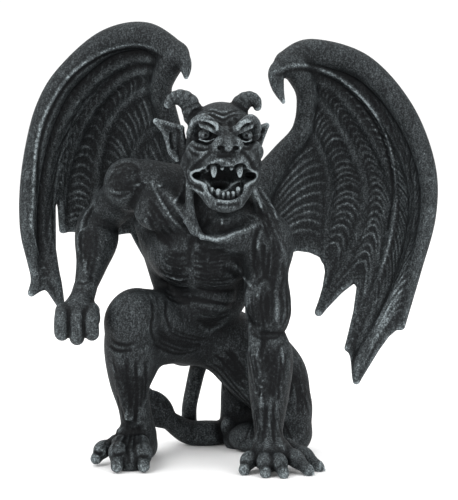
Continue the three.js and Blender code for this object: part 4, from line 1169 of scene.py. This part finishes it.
# %% [markdown]
# The wing skin has a ladder of ripples between each two fingers, arched towards the wing's root, and the
# leading edge carries a raised bead along its inner side. The ripples are laid by their place on the skin
# and not by the photo, so they run on where the body hides the wing, and on the wing's back as well.

# %% Ripples of the wings
RIPPLE_ACROSS = 7
RIPPLE_WIDTH = 0.8


def ripple(one, two, scallop, s, arch, spread):
    """Places and outward directions of one ripple, across the skin between two fingers."""
    t = np.linspace(spread[0], spread[1], RIPPLE_ACROSS)
    bowed = np.clip(s - arch * 4.0 * t * (1.0 - t), 0.02, 0.985)
    here = np.array([skin_place(one, two, scallop, a, b) for a, b in zip(bowed, t)])
    lower = np.array([skin_place(one, two, scallop, a + 0.012, b) for a, b in zip(bowed, t)])
    out = np.cross(np.gradient(here, axis=0), lower - here)
    out /= np.linalg.norm(out, axis=1)[:, None] + 1e-9
    return here, out * -np.sign(out[:, 1:2] + 1e-9)


def ripple_wing(form, spacing, depth):
    count = 0
    fingers = form["fingers"]
    for one, two, scallop in zip(fingers[:-1], fingers[1:], form["scallops"]):
        middle = np.array([skin_place(one, two, scallop, s, 0.5) for s in np.linspace(0, 1, 30)])
        length = np.linalg.norm(np.diff(middle, axis=0), axis=1).sum()
        s = 2.0 * spacing / length
        while s < 0.97:
            spread = (chance.uniform(0.04, 0.16), chance.uniform(0.84, 0.96))
            here, out = ripple(one, two, scallop, s, chance.uniform(1.6, 3.0) / length, spread)
            weight = np.sin(np.linspace(0.12, 0.88, RIPPLE_ACROSS) * math.pi) * chance.uniform(0.6, 1.2)
            for side in (1.0, -1.0):
                line = np.column_stack([here + out * side * WING_SKIN / 2.0, weight])
                fine.score(line, RIPPLE_WIDTH, RIDGE * depth)
            s += spacing * chance.uniform(0.8, 1.25) / length
            count += 1
    return count


print("ripples:", ripple_wing(left_wing_form, 4.4, 0.44), ripple_wing(right_wing_form, 4.8, 0.38))
leading_edge_beads = (
    ((165.4, 54.5), (149.7, 46.6), (130, 44.6), (106.4, 50.5), (84.8, 62.3), (67.2, 78), (53.4, 97.7),
     (41.6, 123.2), (35.7, 150.7), (33.8, 178.2), (32.6, 205), (31.6, 225), (36.5, 248), (45.5, 272.5)),
    ((272, 73), (290, 66), (310, 66), (332, 74), (352, 88), (370, 107), (384, 130), (392, 154), (396, 180),
     (396, 206), (392, 232), (386, 256), (378, 280)),
)
draw(RIDGE, 1.0, 0.7, *leading_edge_beads)
leading_edge_grooves = (
    ((163, 58.5), (149, 51), (130, 48.8), (108, 54), (88, 65), (71, 80), (57, 100), (45.6, 125),
     (39.6, 152),
     (37.8, 180), (36.6, 206)),
    ((276, 77), (292, 70.6), (309, 70.6), (329, 78), (348, 91), (366, 110), (379.6, 132), (387.6, 155),
     (391.6, 180), (391.4, 206), (387, 232)),
)
draw(GROOVE, 1.0, 0.7, *leading_edge_grooves)

# %% [markdown]
# The photograph shows no back. The strokes there are plain and in keeping with the front: two long
# furrows beside a knobbed backbone, ribs that fan out from it, and muscle fibres down the outer sides of
# the arms and the haunch. They are placed in millimetres on a plain view from behind or from one side.

# %% Lines of the back and sides
from_behind = plain_rays("back")
KNOBS = 11
BACKBONE_LOW, BACKBONE_HIGH = 84, 146                # mm
for low in np.linspace(BACKBONE_LOW, BACKBONE_HIGH, KNOBS):
    knob = ((-14.5, low), (-11.5, low + 0.8), (-8.5, low))
    draw(RIDGE, 1.8, 1.0, knob, rays=from_behind)
backbone_furrows = (
    ((-18, 148), (-19, 130), (-18, 110), (-16, 90), (-14, 78)),
    ((-5, 148), (-4, 130), (-5, 110), (-7, 90), (-8, 78)),
)
draw(GROOVE, 2.6, 1.5, *backbone_furrows, rays=from_behind)
right_ribs_span = (
    ((-22, 142), (-23, 124), (-22, 106), (-20, 88)),
    ((-46, 130), (-44, 114), (-40, 98), (-36, 82)),
)
fibres(*right_ribs_span, 12, 1.0, 0.8, from_behind)
left_ribs_span = (
    ((-1, 142), (0, 124), (-1, 106), (-3, 88)),
    ((18, 130), (18, 114), (16, 98), (14, 82)),
)
fibres(*left_ribs_span, 12, 1.0, 0.8, from_behind)
arm_side_span = (
    ((-9, 112), (-8, 98), (-7, 84), (-8, 70)),
    ((9, 112), (10, 98), (9, 84), (6, 70)),
)
haunch_side_span = (
    ((26, 62), (24, 48), (26, 34), (30, 22)),
    ((50, 58), (50, 44), (48, 32), (46, 20)),
)
for side in ("left", "right"):
    fibres(*arm_side_span, 8, 1.0, 0.7, plain_rays(side))
    fibres(*haunch_side_span, 8, 1.1, 0.8, plain_rays(side))
print(f"scored, value from {fine.value.min():.1f}")

# %% [markdown]
# The skin is taken off the clay as a net: one point in each cell that the surface crosses, at the middle
# of its crossings, and one square for each edge that it crosses. A net gives even faces, which thin out
# better than the slivers that marching cubes leaves.

# %% Skin
def skin_net(block):
    inside = block < 0
    count = np.zeros(tuple(n - 1 for n in block.shape), np.uint8)
    corners = list(np.ndindex(2, 2, 2))
    for a, b, c in corners:
        count += inside[a:a + count.shape[0], b:b + count.shape[1], c:c + count.shape[2]]
    cells = np.argwhere((count > 0) & (count < 8))
    number = np.full(count.shape, -1, np.int32)
    number[tuple(cells.T)] = np.arange(len(cells))
    value = {c: block[tuple((cells + c).T)] for c in corners}
    total = np.zeros((len(cells), 3))
    crossings = np.zeros(len(cells))
    for a in corners:
        for axis in range(3):
            if a[axis]:
                continue
            b = tuple(v + (n == axis) for n, v in enumerate(a))
            crossed = (value[a] < 0) != (value[b] < 0)
            share = np.where(crossed, value[a] / np.where(crossed, value[a] - value[b], 1.0), 0.0)
            for n in range(3):
                total[:, n] += crossed * (a[n] + (share if n == axis else 0.0))
            crossings += crossed
    points = (cells + total / crossings[:, None] + fine_first * CUBE) * FINE_STEP
    faces = []
    for axis in range(3):
        u, v = (axis + 1) % 3, (axis + 2) % 3
        here = [slice(1, -1)] * 3
        there = list(here)
        there[axis] = slice(2, None)
        changed = inside[tuple(here)] != inside[tuple(there)]
        edge = np.argwhere(changed) + 1
        starts_inside = inside[tuple(edge.T)]
        ring = []
        for du, dv in ((-1, -1), (0, -1), (0, 0), (-1, 0)):
            cell = edge.copy()
            cell[:, u] += du
            cell[:, v] += dv
            ring.append(number[tuple(cell.T)])
        ring = np.stack(ring, 1)
        ring[~starts_inside] = ring[~starts_inside][:, ::-1]
        faces.append(ring)
    return points, np.concatenate(faces)


fine_block = whole_block(fine)
points, faces = skin_net(fine_block)
print(f"skin: {len(points)} points, {len(faces)} squares, faces without a cell: {(faces < 0).any(1).sum()}")

# %% [markdown]
# The net is thinned by Blender's Decimate, which draws edges together where that moves the surface least,
# so smooth stretches give up their faces and the wrinkles keep theirs.

# %% Thinning
FACE_LIMIT = 190000


def as_mesh(name, points, faces):
    mesh = bpy.data.meshes.new(name)
    mesh.vertices.add(len(points))
    mesh.vertices.foreach_set("co", ((points - drawn_middle) * MM).ravel())
    mesh.loops.add(faces.size)
    mesh.loops.foreach_set("vertex_index", faces.ravel().astype(np.int32))
    mesh.polygons.add(len(faces))
    mesh.polygons.foreach_set("loop_start", np.arange(0, faces.size, faces.shape[1], dtype=np.int32))
    mesh.update(calc_edges=True)
    return mesh


def main_shell(mesh):
    """Removes crumbs: every shell but the largest."""
    body = bmesh.new()
    body.from_mesh(mesh)
    left = set(body.verts)
    shells = []
    while left:
        shell = {left.pop()}
        edge = list(shell)
        while edge:
            edge = [e.other_vert(v) for v in edge for e in v.link_edges]
            edge = [v for v in edge if v in left]
            edge = list(dict.fromkeys(edge))
            left.difference_update(edge)
            shell.update(edge)
        shells.append(shell)
    shells.sort(key=len)
    crumbs = [v for shell in shells[:-1] for v in shell]
    bmesh.ops.delete(body, geom=crumbs, context="VERTS")
    body.to_mesh(mesh)
    body.free()
    return len(shells) - 1


net = as_mesh("gargoyle_net", points, faces)
figure = bpy.data.objects.new("gargoyle_figure", net)
bpy.context.scene.collection.objects.link(figure)
thinning = figure.modifiers.new("thinning", "DECIMATE")
thinning.ratio = min(1.0, FACE_LIMIT / (2.0 * len(faces)))
seen_by = bpy.context.evaluated_depsgraph_get()
thinned = bpy.data.meshes.new_from_object(figure.evaluated_get(seen_by))
figure.modifiers.clear()
figure.data = thinned
crumbs = main_shell(thinned)
thinned.shade_smooth()
print(f"{len(thinned.polygons)} faces after thinning, {crumbs} crumbs removed")

# %% [markdown]
# Dry brushing leaves paint on whatever stands proud. How proud a place stands is read off the clay: the
# field is blurred, and where its blurred value on the skin is above zero, there was more air than clay
# round the point. A narrow blur finds the crests of small ridges and the creases between them, and a broad
# one finds the deep places, which the brush missed. Creases and deep places are also darkened below the
# plain stain, as painted shade. The sum of brush paint and painted shade is stored on the mesh for the
# material.

# %% What stands proud
CREST_HALF, FORM_HALF = 1, 5                         # samples to each side
BLUR_PASSES = 2
DEPTH_LIMIT = 3.0                                    # mm of the field that count
CREST_LIMIT, ROUND_LIMIT = 0.3, 2.0
# The share of the broad blur's deep places: painted shade in the hollows.
HOLLOW_SHADE_SHARE, ROUND_SHARE = 0.14, 0.03


def blurred(block, half):
    block = np.clip(block, -DEPTH_LIMIT, DEPTH_LIMIT)
    for axis in range(3):
        for _ in range(BLUR_PASSES):
            total = np.cumsum(block, axis=axis, dtype=np.float32)
            ahead = np.take(total, np.minimum(np.arange(block.shape[axis]) + half,
                                              block.shape[axis] - 1), axis)
            behind = np.take(total, np.maximum(np.arange(block.shape[axis]) - half - 1, 0), axis)
            block = (ahead - behind) / (2 * half + 1)
    return block


spots = np.empty(len(thinned.vertices) * 3, np.float32)
thinned.vertices.foreach_get("co", spots)
drawn_spots = spots.reshape(-1, 3) / MM + drawn_middle
crests, forms = (blended(blurred(fine_block, half), fine_first, FINE_STEP, drawn_spots)
                 for half in (CREST_HALF, FORM_HALF))
# Brush paint on crests and round forms, with painted shade in the creases and the deep hollows.
proud = (np.clip(crests, -CREST_LIMIT, CREST_LIMIT) + HOLLOW_SHADE_SHARE * np.clip(forms, -DEPTH_LIMIT, 0.0)
         + ROUND_SHARE * np.clip(forms, 0.0, ROUND_LIMIT))
layer = thinned.attributes.new("raised", "FLOAT", "POINT")
layer.data.foreach_set("value", proud.astype(np.float32))
for name, value in (("crests", crests), ("forms", forms), ("both", proud)):
    print(name, "at 2, 10, 50, 90 and 98 per cent:", np.round(np.percentile(value, (2, 10, 50, 90, 98)), 3))

inside_box = np.clip(spots.reshape(-1, 3), cad_low, cad_high)
moved = np.abs(inside_box - spots.reshape(-1, 3)).max() / MM
thinned.vertices.foreach_set("co", inside_box.astype(np.float32).ravel())
thinned.update()
print(f"pressed into the CAD box by {moved:.2f} mm at most")

# %% [markdown]
# The stain is nearly black with some blue in it, and lies matt on the casting. The brush left a pale blue
# grey on the ridges, broken up by the grain of the stone. A colour ramp holds four coats, from the stain
# darkened with painted shade in the hollows and creases, through the plain stain and the brushed grey, to
# the paint on the crests. How proud a place stands picks the coat, shifted by three noises: the grain,
# upright strokes and broad patches. The first two also give a fine bump.

# %% Finish
FINISH = {
    # The lowest coat: the stain darkened as painted shade, for hollows and creases.
    "stain_and_shade": (0.0035, 0.0040, 0.0046, 1.0),
    "body": (0.0130, 0.0150, 0.0162, 1.0),
    "brushed": (0.058, 0.067, 0.071, 1.0),
    "crest": (0.25, 0.29, 0.305, 1.0),
    "body_at": 0.36,
    "brushed_at": 0.66,
    "roughness": 0.6,
    "specular": 0.1,
    "proud_share": 2.1,
    "grain_share": 1.3,
    "strokes_share": 0.6,
    "patches_share": 0.25,
    "offset": -0.76,
    "bump": 0.6,
    "bump_depth": 0.0005,
}


def stone_material():
    material = bpy.data.materials.new("dark_cast_stone")
    material.use_nodes = True
    nodes, links = material.node_tree.nodes, material.node_tree.links
    shader = nodes["Principled BSDF"]
    shader.inputs["Roughness"].default_value = FINISH["roughness"]
    shader.inputs["Specular IOR Level"].default_value = FINISH["specular"]

    def attribute(name):
        node = nodes.new("ShaderNodeAttribute")
        node.attribute_name = name
        return node.outputs["Fac"]

    def noise(place, scale, detail, roughness, distortion=0.0):
        node = nodes.new("ShaderNodeTexNoise")
        node.inputs["Distortion"].default_value = distortion
        node.inputs["Scale"].default_value = scale
        node.inputs["Detail"].default_value = detail
        node.inputs["Roughness"].default_value = roughness
        links.new(place, node.inputs["Vector"])
        return node.outputs["Fac"]

    def times_plus(value, factor, plus):
        node = nodes.new("ShaderNodeMath")
        node.operation = "MULTIPLY_ADD"
        links.new(value, node.inputs[0])
        node.inputs[1].default_value = factor
        if isinstance(plus, float):
            node.inputs[2].default_value = plus
        else:
            links.new(plus, node.inputs[2])
        return node.outputs["Value"]

    where = nodes.new("ShaderNodeTexCoord").outputs["Object"]
    upright = nodes.new("ShaderNodeMapping")
    upright.inputs["Scale"].default_value = (1.0, 1.0, 0.35)
    links.new(where, upright.inputs["Vector"])
    grain = noise(where, 1200.0, 3.0, 0.65)
    strokes = noise(upright.outputs["Vector"], 620.0, 2.0, 0.5, 1.0)
    patches = noise(where, 90.0, 2.0, 0.5)
    # The raised attribute carries brush paint on the crests and painted shade in the hollows and creases.
    paint = times_plus(attribute("raised"), FINISH["proud_share"], FINISH["offset"])
    paint = times_plus(grain, FINISH["grain_share"], paint)
    paint = times_plus(strokes, FINISH["strokes_share"], paint)
    paint = times_plus(patches, FINISH["patches_share"], paint)

    coats = nodes.new("ShaderNodeValToRGB")
    ramp = coats.color_ramp
    ramp.elements[0].position = 0.0
    ramp.elements[0].color = FINISH["stain_and_shade"]
    ramp.elements[1].position = 1.0
    ramp.elements[1].color = FINISH["crest"]
    ramp.elements.new(FINISH["body_at"]).color = FINISH["body"]
    ramp.elements.new(FINISH["brushed_at"]).color = FINISH["brushed"]
    links.new(paint, coats.inputs["Fac"])
    links.new(coats.outputs["Color"], shader.inputs["Base Color"])

    bump = nodes.new("ShaderNodeBump")
    bump.inputs["Strength"].default_value = FINISH["bump"]
    bump.inputs["Distance"].default_value = FINISH["bump_depth"]
    links.new(times_plus(strokes, 1.0, grain), bump.inputs["Height"])
    links.new(bump.outputs["Normal"], shader.inputs["Normal"])
    return material


thinned.materials.clear()
thinned.materials.append(stone_material())
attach(figure, "root")
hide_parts("gargoyle")
print("finish on", figure.name, "with", len(thinned.materials), "material")

# %% [markdown]
# A pale plain floor and three soft lights stand in for the photographer's white table and window. They are
# the stage and not part of the object.

# %% Floor and lights
def add_floor():
    mesh = bpy.data.meshes.new("floor")
    half = 6.0
    mesh.from_pydata([(-half, -half, 0), (half, -half, 0), (half, half, 0), (-half, half, 0)], [],
                     [(0, 1, 2, 3)])
    floor = bpy.data.objects.new("floor", mesh)
    bpy.context.scene.collection.objects.link(floor)
    paper = bpy.data.materials.new("pale_floor")
    paper.use_nodes = True
    paper.node_tree.nodes["Principled BSDF"].inputs["Base Color"].default_value = (0.96, 0.96, 0.96, 1.0)
    paper.node_tree.nodes["Principled BSDF"].inputs["Roughness"].default_value = 0.9
    mesh.materials.append(paper)


def add_area_light(name, place, look_at, size, watts):
    data = bpy.data.lights.new(name, "AREA")
    data.shape = "SQUARE"
    data.size = size
    data.energy = watts
    light = bpy.data.objects.new(name, data)
    light.location = place
    light.rotation_euler = (Vector(look_at) - Vector(place)).to_track_quat("-Z", "Y").to_euler()
    bpy.context.scene.collection.objects.link(light)


add_floor()
CHEST = (0.0, 0.0, 0.12)
add_area_light("window", (-0.9, -0.9, 1.2), CHEST, size=0.9, watts=14.0)
add_area_light("fill", (1.1, -0.8, 0.8), CHEST, size=1.2, watts=7.0)
add_area_light("top", (0.0, 0.3, 1.5), CHEST, size=1.4, watts=9.0)
world = bpy.data.worlds.new("studio")
world.use_nodes = True
world.node_tree.nodes["Background"].inputs["Color"].default_value = (1.0, 1.0, 1.0, 1.0)
world.node_tree.nodes["Background"].inputs["Strength"].default_value = 1.08
bpy.context.scene.world = world
bpy.context.scene.view_settings.view_transform = "Standard"
